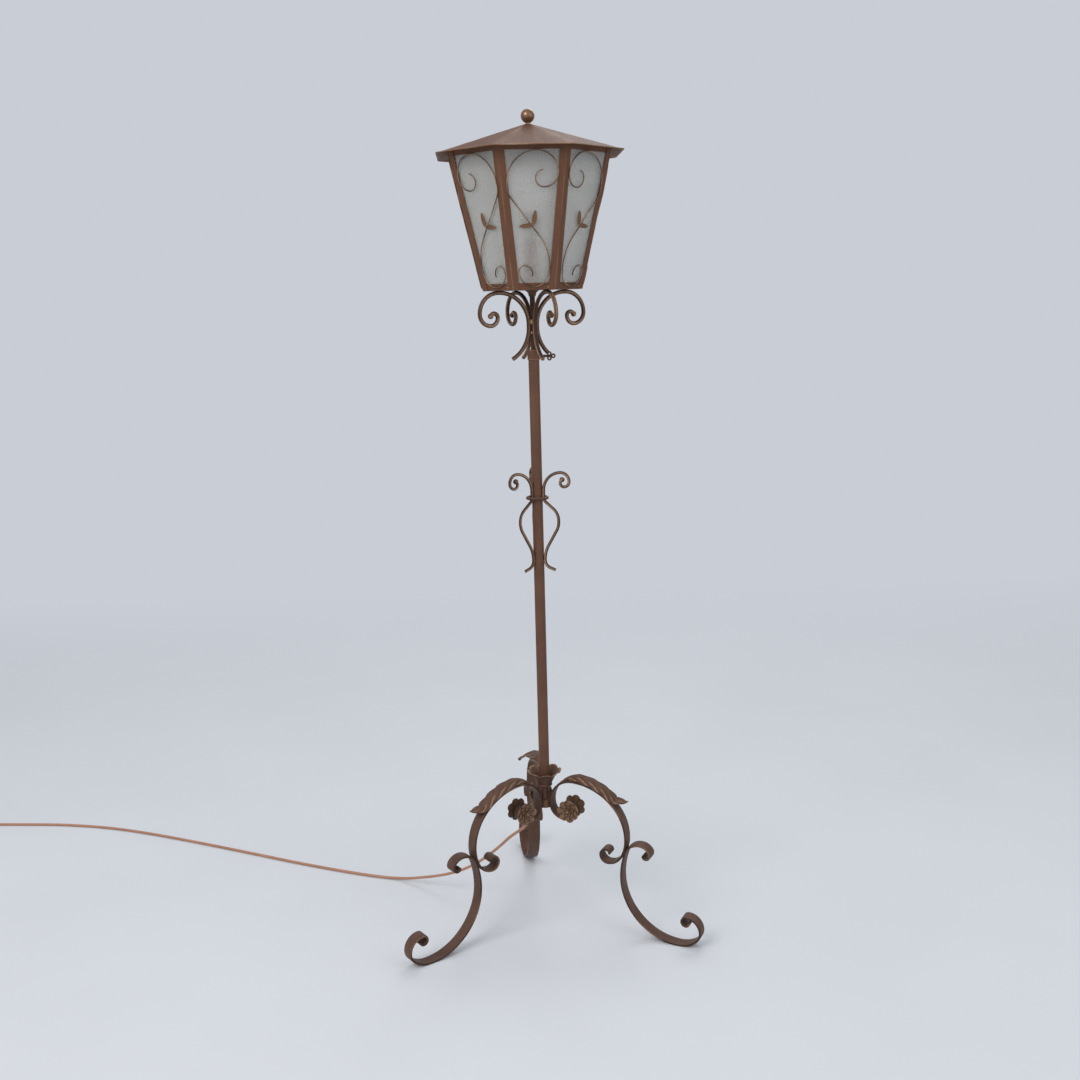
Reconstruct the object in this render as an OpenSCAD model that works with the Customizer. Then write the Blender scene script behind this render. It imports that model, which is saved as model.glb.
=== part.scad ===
// Lantern floor lamp: an eight-sided glazed lantern on scroll brackets, a tube pole
// and three legs of bent strap. The origin is on the pole's axis at floor level.

/* [Legs] */
// Distance from the pole's axis to where a foot touches the floor
leg_reach = 290; // [260:1:330]
// Width of the leg strap
strap_w = 26; // [20:1:30]
// Thickness of the leg strap
strap_t = 4; // [3:0.5:5]
// Angle of the right leg about the pole
leg_turn = -24.8; // [-40:0.1:-15]
// How far the back leg stands off the even spacing of the three
back_leg_off = 2.4; // [-4:0.1:4]
// How many times as far as the others the back leg reaches
back_leg_long = 1.16; // [1:0.01:1.2]
// Diameter of the rosettes
rosette_d = 47; // [36:1:52]
// Distance between the two rosettes of a leg
rosette_span = 38; // [36:1:50]
// Widest half-width of the leaf on a leg
leaf_half = 18; // [13:0.5:20]

/* [Pole] */
// Outer diameter of the pole
pole_d = 21; // [19:0.5:24]
// Wall of the pole
pole_wall = 1.6; // [1.2:0.1:2]
// Length of the pole
pole_len = 874; // [760:2:1000]
// Outer diameter of the collar on the pole's top
collar_d = 24.4; // [24:0.2:28]
// Height of the collar
collar_h = 20; // [17:1:26]
// Diameter of the cup that the pole stands in
cup_d = 66; // [56:1:76]
// Height of the cup
cup_h = 23; // [20:1:28]
// Radius of the hub block that the legs are welded to
hub_r = 15; // [14:0.5:16]
// Diameter of the threaded tube through the hub and the stem
tube_d = 10; // [9:0.5:11]

/* [Scrolls] */
// Thickness of the bars in the pole's ornament
mid_rod_d = 6; // [4:0.5:7]
// Height of the ring of the pole's ornament
ring_z = 890; // [840:5:940]
// Thickness of the bars of the lantern's brackets
bracket_rod_d = 8; // [6:0.5:9]
// Angle of the first bracket about the pole
bracket_turn = -63.2; // [-75:0.1:-50]
// How far the first bracket stands off the even spacing of the four
bracket_off = 4; // [0:0.5:6]
// Height of the brackets' waist over the collar
waist_rise = 46; // [42:1:56]

/* [Lantern] */
// Corner radius of the lantern at its foot
foot_r = 101; // [92:1:108]
// Corner radius of the lantern at its top
head_r = 163; // [150:1:172]
// Height of the glazed body
body_h = 254; // [220:1:290]
// Corner radius of the roof
roof_r = 186; // [178:1:205]
// Height of the roof
roof_h = 58; // [48:1:76]
// Angle of the lantern about the pole
lantern_turn = 2.5; // [0:0.5:10]
// Width of each flange of a corner post, and height of the rails
frame_w = 12; // [11:0.5:16]
// Sheet of the frame
sheet = 1.2; // [0.8:0.1:1.6]
// Thickness of the glass
glass_t = 3; // [2:0.5:4]
// Thickness of the wire on the panes
wire_d = 2.4; // [1.8:0.2:3]
// Diameter of the ball on the roof
ball_d = 26; // [22:1:32]

/* [Electrics] */
// Diameter of the sleeve round the lampholder
sleeve_d = 28; // [27:0.5:32]
// Height of the sleeve
sleeve_h = 92; // [84:1:104]
// Diameter of the bulb
bulb_d = 45; // [40:1:50]
// Width across the lobes of the turn key
key_w = 19; // [16:0.5:20]
// Diameter of the cord
cord_d = 6; // [5.5:0.1:6.4]

/* [Hidden] */

$fn = 48;
step = 9;              // turn of a bend between two points
gap = 0.1;             // clearance between pieces that touch
run_gap = 0.05;        // radial clearance of a turning shaft
bronze = "#6e5142";
brass = "#9c7d55";
frost = "#a9b0ab";
copper = "#b5653c";

// A bend list holds moves: [0, length] runs straight, [radius, angle] turns, left when positive.
// A place is [x, y, heading].
function moved(s, m) = m[0] == 0
  ? [s.x + m[1] * cos(s.z), s.y + m[1] * sin(s.z), s.z]
  : let (h = s.z + m[1], r = m[0] * sign(m[1]))
    [s.x + r * (sin(h) - sin(s.z)), s.y + r * (cos(s.z) - cos(h)), h];
function along(s, m, a) = let (n = m[0] == 0 ? 1 : max(1, ceil(abs(m[1]) / a)))
  [for (i = [1:n]) moved(s, [m[0], m[1] * i / n])];
function last(v) = v[len(v) - 1];
function walk(s, moves, a = step, i = 0) = i == len(moves) ? []
  : let (p = along(s, moves[i], a)) concat(p, walk(last(p), moves, a, i + 1));
function path(s, moves, a = step) = concat([s], walk(s, moves, a));
function back(p) = [for (i = [len(p) - 1:-1:0]) [p[i].x, p[i].y, p[i].z + 180]];
function sized(moves, k) = [for (m = moves) m[0] == 0 ? [0, m[1] * k] : [m[0] * k, m[1]]];
// The place at a distance d to the left of s
function beside(s, d) = [s.x - d * sin(s.z), s.y + d * cos(s.z), s.z];

// The flat outline of a strip of thickness t along a path
module strip(p, t) polygon(concat([for (s = p) let (q = beside(s, t / 2)) [q.x, q.y]],
  [for (i = [len(p) - 1:-1:0]) let (q = beside(p[i], -t / 2)) [q.x, q.y]]));

// A skin over rings of points, closed at both ends
module skin(rings) {
  n = len(rings[0]);
  m = len(rings);
  polyhedron([for (r = rings) each r],
    concat([[for (i = [0:n - 1]) i]],
      [for (j = [0:m - 2], i = [0:n - 1]) let (k = (i + 1) % n)
        [j * n + i, (j + 1) * n + i, (j + 1) * n + k, j * n + k]],
      [[for (i = [n - 1:-1:0]) (m - 1) * n + i]]), convexity = 10);
}

// A round bar of radius r along a path in the upright plane, with a ball of radius b at its end
module bar(p, r, b = 0, sides = 8) {
  e = last(p);
  ball = b == 0 ? [] : let (a0 = asin(r / b), c = b * cos(a0))
    [for (a = [a0 + 20:32:176]) concat(moved(e, [0, c - b * cos(a)]), [b * sin(a)])];
  skin([for (s = concat([for (q = p) concat(q, [r])], ball))
    [for (i = [0:sides - 1]) let (a = -360 * i / sides, q = beside(s, s[3] * cos(a)))
      [q.x, s[3] * sin(a), q.y]]]);
}

// ---- legs -------------------------------------------------------------------------
foot_flat = 0.4;                       // depth of the flat that a foot stands on
arch_moves = [[0, 4], [47, -90], [118, -50], [100, -40], [75, -20]];
sweep_moves = [[150, 20], [125, 60], [114, 30]];
rosette_curl = [[30, 90], [0, 4], [17, 90], [10, 90], [7, 140]];
inner_curl = [[75, -10], [32, -60], [16, -90], [12, -90], [7, -45]];
outer_curl = [[30, -70], [26, -50], [14, -40], [8, -90], [7, -90]];
foot_curl = [[55, 40], [24, 50], [29, 90], [9, 180], [6.5, 100]];
hub_side = hub_r + strap_t / 2 + gap;  // where the straps stand against the hub block
weld = strap_t + gap;                  // the two straps of a leg lie face to face here
arch_end = last(path([0, 0, 90], arch_moves));
sweep_end = last(path([0, 0, arch_end.z], sweep_moves));
leg_k = (leg_reach - hub_side + weld * sin(arch_end.z)) / (arch_end.x + sweep_end.x);
hub_z = strap_t / 2 - foot_flat - leg_k * (arch_end.y + sweep_end.y) - weld * cos(arch_end.z);
leg_start = [hub_side, hub_z, 90];
crossing = last(path(leg_start, sized(arch_moves, leg_k)));
sweep_start = beside(crossing, weld);
foot_place = last(path(sweep_start, sized(sweep_moves, leg_k)));
upper_path = concat(back(walk([hub_side, hub_z, -90], sized(rosette_curl, leg_k))),
  path(leg_start, concat(sized(arch_moves, leg_k), sized(inner_curl, leg_k))));
lower_path = concat(back(walk([sweep_start.x, sweep_start.y, sweep_start.z + 180],
    sized(outer_curl, leg_k))),
  path(sweep_start, concat(sized(sweep_moves, leg_k), sized(foot_curl, leg_k))));
eye = last(path([hub_side, hub_z, -90], sized([for (m = [0:3]) rosette_curl[m]], leg_k)));
eye_c = beside(eye, 7 * leg_k);        // centre of the small eye that holds the rosettes' pin
pin_r = 7 * leg_k - strap_t / 2 - gap;
function reach_of(i) = i == 1 ? back_leg_long : 1;
// A leg's line drawn out to a longer reach
function drawn(p, k, shift = 0) = [for (s = p) [hub_side + (s.x - hub_side) * k - shift, s.y,
  atan2(sin(s.z), k * cos(s.z))]];
function eye_x(i) = drawn([eye_c], reach_of(i))[0].x;

module on_leg(i) rotate([0, 0, leg_turn + 120 * i + (i == 1 ? back_leg_off : 0)]) children();
module upright(w) rotate([90, 0, 0]) linear_extrude(w, center = true) children();

module upper_scroll(i) color(bronze) on_leg(i) upright(strap_w)
  strip(drawn(upper_path, reach_of(i)), strap_t);
module lower_scroll(i) color(bronze) on_leg(i) difference() {
  upright(strap_w) strip(drawn(lower_path, reach_of(i), (reach_of(i) - 1) * weld * sin(-arch_end.z)),
    strap_t);
  translate([leg_reach - 60, -strap_w, -20]) cube([180, 2 * strap_w, 20]);
}

// The leaf lies along the top of the arch, crowned across, with lobed edges and a flipped tip.
leaf_t = 1.2;
leaf_rise = strap_t / 2 + gap;
leaf_moves = [[47 * leg_k + leaf_rise, -23], [118 * leg_k + leaf_rise, -50],
  [91 * leg_k + leaf_rise, -2], [10, 46], [0, 6], [9, 38]];
leaf_sway = [0, 21, 0];                // the back leaf's tip hangs to one side
leaf_from = beside(moved([hub_side, hub_z + 4 * leg_k, 90], [47 * leg_k, -67]), leaf_rise);
leaf_lobes = 6;
leaf_crown = 12;
module acanthus(i) {
  p = drawn(path(leaf_from, leaf_moves, 8), reach_of(i));
  n = len(p) - 1;
  across = [-1, -0.62, -0.22, 0.22, 0.62, 1];
  function half(u) = leaf_half * (0.45 + 0.55 * sin(min(90, 210 * u))) * (u < 0.8 ? 1
    : sqrt(1.02 - pow((u - 0.8) / 0.2, 2)))
    * (0.86 + 0.14 * abs(sin(180 * leaf_lobes * u + 25)));
  function crown(u) = leaf_crown * min(1, 4 * u + 0.12) * (u < 0.8 ? 1 : 1 - 3.4 * (u - 0.8));
  color(bronze) on_leg(i) skin([for (j = [0:n]) let (u = j / n, w = half(u), c = crown(u),
      s = leaf_sway[i] * pow(max(0, u - 0.45) / 0.55, 2))
    concat([for (v = across) let (q = beside(p[j], c * (1 - v * v) + leaf_t)) [q.x, w * v + s, q.y]],
      [for (k = [5:-1:0]) let (v = across[k], q = beside(p[j], c * (1 - v * v)))
        [q.x, w * v + s, q.y]])]);
}

petals = 7;
module rosette_disc(d, t) linear_extrude(t) union() {
  circle(d * 0.33);
  for (k = [0:petals - 1]) rotate(360 / petals * (k + 0.5)) translate([d * 0.355, 0]) circle(d * 0.145);
}
module rosettes() color(bronze) for (i = [0:2], side = [-1, 1]) on_leg(i)
  translate([eye_x(i), side * (rosette_span / 2 - 3), eye_c.y]) rotate([-90 * side, 0, 0]) {
    difference() {
      union() {
        rosette_disc(rosette_d, 1.6);
        translate([0, 0, 1.5]) rotate(26) rosette_disc(rosette_d * 0.74, 1.8);
        translate([0, 0, 3.2]) rosette_disc(rosette_d * 0.46, 1.8);
        translate([0, 0, 4.9]) sphere(3.6, $fn = 24);
      }
      translate([0, 0, -4.9]) cylinder(r = pin_r + 4, h = 4.9);
    }
  }
module rosette_pins() color(bronze) for (i = [0:2]) on_leg(i)
  translate([eye_x(i), 0, eye_c.y]) rotate([90, 0, 0])
    cylinder(r = pin_r, h = rosette_span - 6 - 2 * gap, center = true);

// ---- hub, cup and pole --------------------------------------------------------------
block_below = 12;                     // the hub block reaches this far under the weld
block_above = 5;
tube_r = tube_d / 2;
bore_r = tube_r + run_gap;
cord_bore = cord_d / 2 + 0.5;
hub_foot = hub_z - block_below;
neck_z = hub_z + block_above;
neck_h = 33;
cup_z = neck_z + neck_h;
seat_t = 2;                           // floor of the cup, which the pole stands on
pole_r = pole_d / 2;
pole_z = cup_z + seat_t + gap;
pole_top = pole_z + pole_len;
exit_turn = leg_turn + 180;            // the cord leaves the hub block between two legs
exit_dip = 50;
exit_z = hub_z - 3;
grommet_l = 20;
grommet_r = 4.8;
module at_exit() translate([0, 0, exit_z]) rotate([0, 0, exit_turn])
  translate([hub_r, 0, 0]) rotate([0, 90 + exit_dip, 0]) children();

module hub_block() color(bronze) difference() {
  translate([0, 0, hub_foot]) rotate_extrude() polygon(concat([[bore_r, 0], [hub_r, 0]],
    [for (a = [0:15:90]) [hub_r - 4 + 4 * cos(a), neck_z - hub_foot - 4 + 4 * sin(a)]],
    [[bore_r, neck_z - hub_foot]]));
  at_exit() {
    translate([0, 0, -16]) cylinder(r = cord_bore, h = 26);
    translate([0, 0, -5]) cylinder(r = grommet_r + gap, h = 15);
  }
}
module hub_neck() color(bronze) translate([0, 0, neck_z + gap]) rotate_extrude()
  polygon([[bore_r, 0], [9.6, 0], [9, 2.5], [7.9, 6], [7.5, 11], [8.2, 16], [9.8, 21.5], [12, 26],
    [13.6, 27.6], [15.2, 28.4], [15.8, 30], [15.2, 31.6], [14, neck_h - 2 * gap],
    [bore_r, neck_h - 2 * gap]]);
module hub_tube() color(brass) translate([0, 0, hub_foot + 1]) difference() {
  cylinder(r = tube_r, h = cup_z + 34 - hub_foot);
  translate([0, 0, -1]) cylinder(r = cord_bore, h = cup_z + 36 - hub_foot);
  rotate([0, 0, exit_turn]) translate([0, 0, exit_z - hub_foot - 2])
    rotate([0, 90 + exit_dip, 0]) cylinder(r = cord_bore, h = 30);
}
module pole_plug() color(brass) translate([0, 0, pole_z + gap]) difference() {
  cylinder(r = pole_r - pole_wall - gap, h = 18);
  translate([0, 0, -1]) cylinder(r = bore_r, h = 20);
}
module pole() color(bronze) translate([0, 0, pole_z]) difference() {
  cylinder(r = pole_r, h = pole_len);
  translate([0, 0, -1]) cylinder(r = pole_r - pole_wall, h = pole_len + 2);
  translate([0, 0, key_z - pole_z]) rotate([0, 90, key_turn]) cylinder(r = key_shaft_r + 0.4, h = 20);
}

// The cup opens like a flower: its radius and its rim's height swing six times round.
cup_lobes = 6;
cup_t = 1.6;
cup_curve = [[0, 14.5], [0.12, 16.2], [0.35, 19.5], [0.58, 24], [0.8, 30], [1, 35.5]];
function cup_ring(t, r, in_) = [for (a = [0:10:350]) let (swing = -pow(t, 3) * cos(cup_lobes * a),
    q = max(pole_r + 1, r * cup_d / 66 - in_ + 3 * swing))
  [q * cos(a), q * sin(a), cup_z + t * cup_h + 5 * swing + (in_ > 0 ? in_ * 0.5 : 0)]];
module leaf_cup() color(bronze) difference() {
  union() {
    difference() {
      skin(concat([for (c = cup_curve) cup_ring(c[0], c[1], 0)],
        [for (k = [len(cup_curve) - 1:-1:0]) cup_ring(max(0.03, cup_curve[k][0]), cup_curve[k][1],
          cup_t)]));
      translate([0, 0, cup_z + cup_h + 6]) cylinder(r = 1, h = 1);
    }
    translate([0, 0, cup_z]) cylinder(r = 14, h = seat_t);
  }
  translate([0, 0, cup_z - 1]) cylinder(r = bore_r, h = seat_t + 2);
}

// ---- ornament on the pole -----------------------------------------------------------
mid_r = mid_rod_d / 2;
mid_start = pole_r + mid_r + gap / 2;
mid_up = [[0, 14.5], [36.5, -90], [17, -90], [11, -90], [7.5, -90], [5.5, -40]];
mid_down = [[10, 50], [0, 20.8], [30, -50], [0, 2.5], [35, -30], [0, 35], [60, 30], [16, 71],
  [0, 11]];
mid_path = concat(back(walk([mid_start, ring_z, -90], mid_down, 15)),
  path([mid_start, ring_z, 90], mid_up, 15));
mid_turns = [-21.5, -141.5, 101];      // the three were set by eye
module mid_scroll(i) color(bronze) rotate([0, 0, mid_turns[i]]) bar(mid_path, mid_r, mid_r * 1.5);
module mid_ring() color(bronze) translate([0, 0, ring_z]) rotate_extrude()
  translate([pole_r + 3 * mid_r + gap, 0]) circle(mid_r, $fn = 24);

// ---- collar and switch --------------------------------------------------------------
collar_top_t = 3;
collar_z = pole_top + gap + collar_top_t - collar_h;
collar_top = collar_z + collar_h;
key_turn = 0;
key_shaft_r = 2.5;
key_z = collar_z + 7;
key_out = 23;                          // from the pole's axis to the key's lobes
key_t = 3;
switch_r = pole_r - pole_wall - 0.3;
nut_t = 4.8;
module collar() color(bronze) translate([0, 0, collar_z]) difference() {
  cylinder(r = collar_d / 2, h = collar_h);
  translate([0, 0, -1]) cylinder(r = pole_r + gap, h = collar_h - collar_top_t + 1);
  cylinder(r = bore_r, h = collar_h + 1);
  translate([0, 0, key_z - collar_z]) rotate([0, 90, key_turn])
    cylinder(r = key_shaft_r + 0.4, h = collar_d);
}
module collar_nut() color(brass) translate([0, 0, pole_top - nut_t]) difference() {
  cylinder(r = pole_r - pole_wall - 0.4, h = nut_t, $fn = 6);
  translate([0, 0, -1]) cylinder(r = bore_r, h = 8);
}
module switch_body() color("#2b2624") difference() {
  translate([0, 0, key_z - 8]) cylinder(r = switch_r, h = pole_top - nut_t - 2 * gap - key_z + 8);
  translate([0, 0, key_z]) rotate([0, 90, key_turn]) cylinder(r = key_shaft_r + run_gap, h = 20);
}
module switch_key() color(bronze) translate([0, 0, key_z]) rotate([0, 90, key_turn]) {
  translate([0, 0, 3]) cylinder(r = key_shaft_r, h = key_out - 2.5);
  translate([0, 0, key_out + key_w / 2]) rotate([90, 0, 0]) linear_extrude(key_t, center = true)
    difference() {
      union() {
        circle(key_w * 0.2);
        for (a = [90, 210, 330]) rotate(a) translate([key_w * 0.27, 0]) circle(key_w * 0.235);
        translate([-1.8, -key_w / 2]) square([3.6, key_w / 2]);
      }
      for (a = [90, 210, 330]) rotate(a) translate([key_w * 0.3, 0]) circle(key_w * 0.11);
    }
}

// ---- lantern brackets ---------------------------------------------------------------
rod_r = bracket_rod_d / 2;
waist_z = collar_top + waist_rise;
bracket_start = tube_r + rod_r + gap / 2;
bracket_up = [[0, 2], [60, -90], [0, 3], [39, -90], [22, -90], [15, -90], [8, -90], [6, -50]];
bracket_sweep = [60, 45, 60, 60];       // the foot behind the key turns out less
function bracket_down(i) = [[0, 4], [66, bracket_sweep[i]], [0, 3]];
bracket_rise = last(path([0, 0, 90], [bracket_up[0], bracket_up[1]])).y;
function bracket_path(i) = concat(back(walk([bracket_start, waist_z, -90], bracket_down(i), 12)),
  path([bracket_start, waist_z, 90], bracket_up, 12));
module bracket(i) color(bronze)
  rotate([0, 0, bracket_turn + 90 * i - (i == 0 ? bracket_off : 0)])
    bar(bracket_path(i), rod_r, rod_r * 1.35);

// ---- lantern ------------------------------------------------------------------------
lantern_z = waist_z + bracket_rise + rod_r + gap;
half_face = 22.5;
foot_in = foot_r * cos(half_face);     // from the axis to the middle of a face, at its foot
head_in = head_r * cos(half_face);
tilt = atan((head_in - foot_in) / body_h);
slant = body_h / cos(tilt);
foot_half = foot_r * sin(half_face);   // half the width of a face at its foot
head_half = head_r * sin(half_face);
edge_run = (head_half - foot_half) / slant;
body_top = lantern_z + body_h;
floor_t = 2;
module in_lantern() translate([0, 0, lantern_z]) rotate([0, 0, lantern_turn]) children();
// A face's own frame: x across, y up the slope, z outwards
module on_face(k) in_lantern() rotate([0, 0, 45 * k - 90]) translate([foot_in, 0, 0])
  rotate([90, 0, 90]) rotate([tilt, 0, 0]) children();
function face_half(y) = foot_half + edge_run * y;
// The octagonal cup between two offsets inwards from the faces and two heights
module eight(y0, y1, d) let (r0 = foot_r + (head_r - foot_r) * y0 / body_h - d / cos(half_face) / cos(tilt),
    r1 = foot_r + (head_r - foot_r) * y1 / body_h - d / cos(half_face) / cos(tilt))
  translate([0, 0, y0]) rotate(22.5) cylinder(r1 = r0, r2 = r1, h = y1 - y0, $fn = 8);
module eight_ring(y0, y1, d, t) difference() {
  eight(y0, y1, d);
  eight(y0 - 1, y1 + 1, d + t);
}

module corner_posts() color(bronze) for (k = [0:7]) union() {
  on_face(k) translate([0, 0, -sheet]) linear_extrude(sheet) polygon([[foot_half, 0],
    [head_half, slant], [head_half - frame_w, slant], [foot_half - frame_w, 0]]);
  on_face(k + 1) translate([0, 0, -sheet]) linear_extrude(sheet) polygon([[-foot_half, 0],
    [-head_half, slant], [frame_w - head_half, slant], [frame_w - foot_half, 0]]);
}
inner = sheet + gap;
module bottom_ring() color(bronze) in_lantern() eight_ring(0, frame_w, inner, sheet);
module top_ring() color(bronze) in_lantern() eight_ring(body_h - frame_w, body_h, inner, sheet);
floor_r = foot_r - (inner + sheet + gap) / cos(half_face) / cos(tilt);
module lantern_floor() color(bronze) in_lantern() difference() {
  rotate(22.5) cylinder(r = floor_r, h = floor_t, $fn = 8);
  translate([0, 0, -1]) cylinder(r = bore_r, h = floor_t + 2);
}
pane_in = inner + sheet + gap;         // the glass stands behind the posts and rails
pane_y0 = (floor_t + gap) / cos(tilt) + (pane_in + glass_t) * tan(tilt);
pane_y1 = slant - frame_w + 4;
module glass_pane(k) color(frost) on_face(k) translate([0, 0, -pane_in - glass_t]) linear_extrude(glass_t)
  let (side = (pane_in + glass_t) * tan(half_face) + 1.2)
  polygon([[side - face_half(pane_y0), pane_y0], [face_half(pane_y0) - side, pane_y0],
    [face_half(pane_y1) - side, pane_y1], [side - face_half(pane_y1), pane_y1]]);

// Wire scroll on a pane: one bend list from the upper curl to the lower one, and two leaves.
// It is drawn for a face 50 wide at mid height and 260 up the slope, and stretched to the real one.
wire_moves = [[15, 170], [25, 90], [37.5, 90], [53, 90], [0, 10.5], [32, 41], [0, 87], [86, -36],
  [62, -20], [27, -75], [27, -90], [10, -90], [15, -90], [5, -40]];
wire_path = path([19, 212.7, 185.6], wire_moves, 15);
wire_ky = slant / 260;
wire_kx = (foot_half + head_half) / 101;
function stretched(p) = [for (s = p) [s.x * wire_kx, s.y * wire_ky,
  atan2(sin(s.z) * wire_ky, cos(s.z) * wire_kx)]];
pane_leaf = [26, 10];
module pane_leaf(a) rotate(a) polygon([for (t = [0:12:360]) let (x = (1 - cos(t)) / 2)
  [pane_leaf.x * x, pane_leaf.y / 2 * sin(t) * (1.1 - 0.35 * x)]]);
module pane_scroll(k) on_face(k) mirror([k % 2, 0, 0]) translate([0, 0, gap]) linear_extrude(wire_d)
  union() {
    strip(stretched(wire_path), wire_d);
    translate([0.8 * wire_kx, 117 * wire_ky]) {
      pane_leaf(82);
      pane_leaf(186);
    }
  }
module pane_scrolls() color(bronze) for (k = [0:7]) pane_scroll(k);

// Roof: a sheet pyramid on eight sides that rests on the top ring
roof_drop = sheet * 1.3;               // the sheet measured upright
roof_slope = roof_h / roof_r;
roof_z = body_top + gap + roof_drop - (roof_r - head_r) * roof_slope;
apex_cut = 2;
apex_z = roof_z + roof_h - apex_cut;
screw_r = 3;
module pyramid(h) rotate(22.5) cylinder(r1 = roof_r, r2 = roof_r * apex_cut / roof_h, h = h, $fn = 8);
module roof() color(bronze) translate([0, 0, roof_z]) rotate([0, 0, lantern_turn]) difference() {
  pyramid(roof_h - apex_cut);
  translate([0, 0, -roof_drop]) pyramid(roof_h - apex_cut);
  cylinder(r = screw_r + run_gap, h = roof_h);
}
bar_z = body_top - 1.5;
bar_lug = frame_w - 7;                 // ends above the panes
bar_w = 16;
bar_t = 3;
bar_half = head_in - (body_top - bar_z) * tan(tilt) - (inner + sheet) / cos(tilt) - gap;
module bridge_bar() color(bronze) translate([0, 0, bar_z]) rotate([0, 0, lantern_turn]) difference() {
  rotate([90, 0, 0]) linear_extrude(bar_w, center = true) polygon([[-bar_half, 0],
    [-bar_half + bar_lug * tan(tilt), -bar_lug], [-bar_half + bar_lug * tan(tilt) + bar_t, -bar_lug],
    [-bar_half + bar_t + 2, -bar_t], [bar_half - bar_t - 2, -bar_t],
    [bar_half - bar_lug * tan(tilt) - bar_t, -bar_lug], [bar_half - bar_lug * tan(tilt), -bar_lug],
    [bar_half, 0]]);
  translate([0, 0, -20]) cylinder(r = screw_r + run_gap, h = 40);
}
module bridge_nut() color(brass) translate([0, 0, bar_z - bar_t - gap - 5]) difference() {
  cylinder(r = 5.8, h = 5, $fn = 6);
  translate([0, 0, -1]) cylinder(r = screw_r + run_gap, h = 8);
}
ball_r = ball_d / 2;
ball_z = apex_z + 0.3 + ball_r;
module finial_ball() color(bronze) difference() {
  union() {
    translate([0, 0, ball_z]) sphere(ball_r);
    translate([0, 0, apex_z + 0.3]) cylinder(r = 5.5, h = 4);
  }
  translate([0, 0, ball_z - 2 * ball_r]) cylinder(r = screw_r + run_gap, h = 2 * ball_r);
}
module finial_rod() color(brass) translate([0, 0, bar_z - 16])
  cylinder(r = screw_r, h = ball_z - bar_z + 14);

// ---- lamp inside --------------------------------------------------------------------
stem_z = pole_top - nut_t + gap;
floor_top = lantern_z + floor_t;
holder_r = sleeve_d / 2 - 1.6;
holder_h = 46;
cap_r = 6.9;
cap_h = 24;
module stem() color(bronze) translate([0, 0, stem_z]) difference() {
  cylinder(r = tube_r, h = floor_top + sleeve_h - holder_h - 6 - stem_z);
  translate([0, 0, -1]) cylinder(r = cord_bore, h = 400);
}
module stem_cup() color(bronze) translate([0, 0, lantern_z - 12 - gap]) rotate_extrude()
  polygon([[bore_r, 0], [6.6, 0], [7.2, 4], [9, 8], [13, 11], [15, 12], [bore_r, 12]]);
module floor_nut() color(brass) translate([0, 0, floor_top + gap]) difference() {
  cylinder(r = 9, h = 5, $fn = 6);
  translate([0, 0, -1]) cylinder(r = bore_r, h = 8);
}
module candle_sleeve() color("#7a5f4d") translate([0, 0, floor_top + gap]) difference() {
  cylinder(r = sleeve_d / 2, h = sleeve_h);
  translate([0, 0, -1]) cylinder(r = sleeve_d / 2 - 1.2, h = sleeve_h + 2);
}
holder_z = floor_top + sleeve_h - holder_h;
module lampholder() color("#2b2624") translate([0, 0, holder_z]) difference() {
  union() {
    cylinder(r = holder_r, h = holder_h);
    translate([0, 0, -8]) cylinder(r = 8.5, h = 8.1);
  }
  translate([0, 0, holder_h - cap_h - 2]) cylinder(r = cap_r + 0.08, h = cap_h + 4);
  translate([0, 0, -9]) cylinder(r = bore_r, h = 5);
}
cap_z = holder_z + holder_h - cap_h - 1.6;
module bulb_cap() color(brass) translate([0, 0, cap_z]) union() {
  cylinder(r = cap_r, h = cap_h + 2);
  translate([0, 0, -0.2]) cylinder(r = 2.4, h = 0.4);
}
bulb_neck_z = cap_z + cap_h + 2 + gap;
bulb_r = bulb_d / 2;
bulb_rise = sqrt(bulb_r * bulb_r - 64) + 6;
module bulb_glass() color("#d9d6cc") translate([0, 0, bulb_neck_z]) rotate_extrude()
  polygon(concat([[0, 0], [8, 0], [8, 6]],
    [for (a = [-70 + 0:10:90]) if (bulb_r * cos(a) >= 8 || a > 0)
      [bulb_r * cos(a), bulb_rise + bulb_r * sin(a)]]));

// ---- cord -------------------------------------------------------------------------
cord_r = cord_d / 2;
exit_dir = [cos(exit_turn) * cos(exit_dip), sin(exit_turn) * cos(exit_dip), -sin(exit_dip)];
exit_at = [hub_r * cos(exit_turn), hub_r * sin(exit_turn), exit_z];
cord_start = exit_at + exit_dir * 2;
coil_at = [-1468, 605];
coil_r = 40;
coil_pitch = 7;
layer = 6.6;
coil_turns = 4;
// The cord from the grommet, in the air to the floor and along it to the coil
cord_points = concat([for (d = [2, 12, 22, 30]) exit_at + exit_dir * d], [
  [-35, 17, 216], [-39, 21, 203], [-47, 27, 190], [-59, 35, 178], [-76, 45, 162], [-97, 57, 138],
  [-122, 73, 111], [-150, 90, 85], [-182, 108, 62], [-215, 127, 44], [-245, 145, 31],
  [-275, 163, 20], [-303, 179, 11], [-330, 193, 5], [-360, 203, cord_r], [-400, 216, cord_r],
  [-470, 244, cord_r], [-571, 289, cord_r], [-700, 352, cord_r], [-835, 417, cord_r],
  [-975, 480, cord_r], [-1090, 522, cord_r], [-1210, 548, cord_r], [-1320, 558, cord_r],
  [-1400, 563, cord_r], [coil_at.x + 22, coil_at.y - coil_r, cord_r]],
  [[coil_at.x, coil_at.y - coil_r, cord_r]]);
function hermite(a, b, c, d, t) = b * (2 * t * t * t - 3 * t * t + 1) + c * (3 * t * t - 2 * t * t * t)
  + (c - a) / 2 * (t * t * t - 2 * t * t + t) * norm(c - b) / max(norm(c - a) / 2, 0.001)
  + (d - b) / 2 * (t * t * t - t * t) * norm(c - b) / max(norm(d - b) / 2, 0.001);
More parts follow.
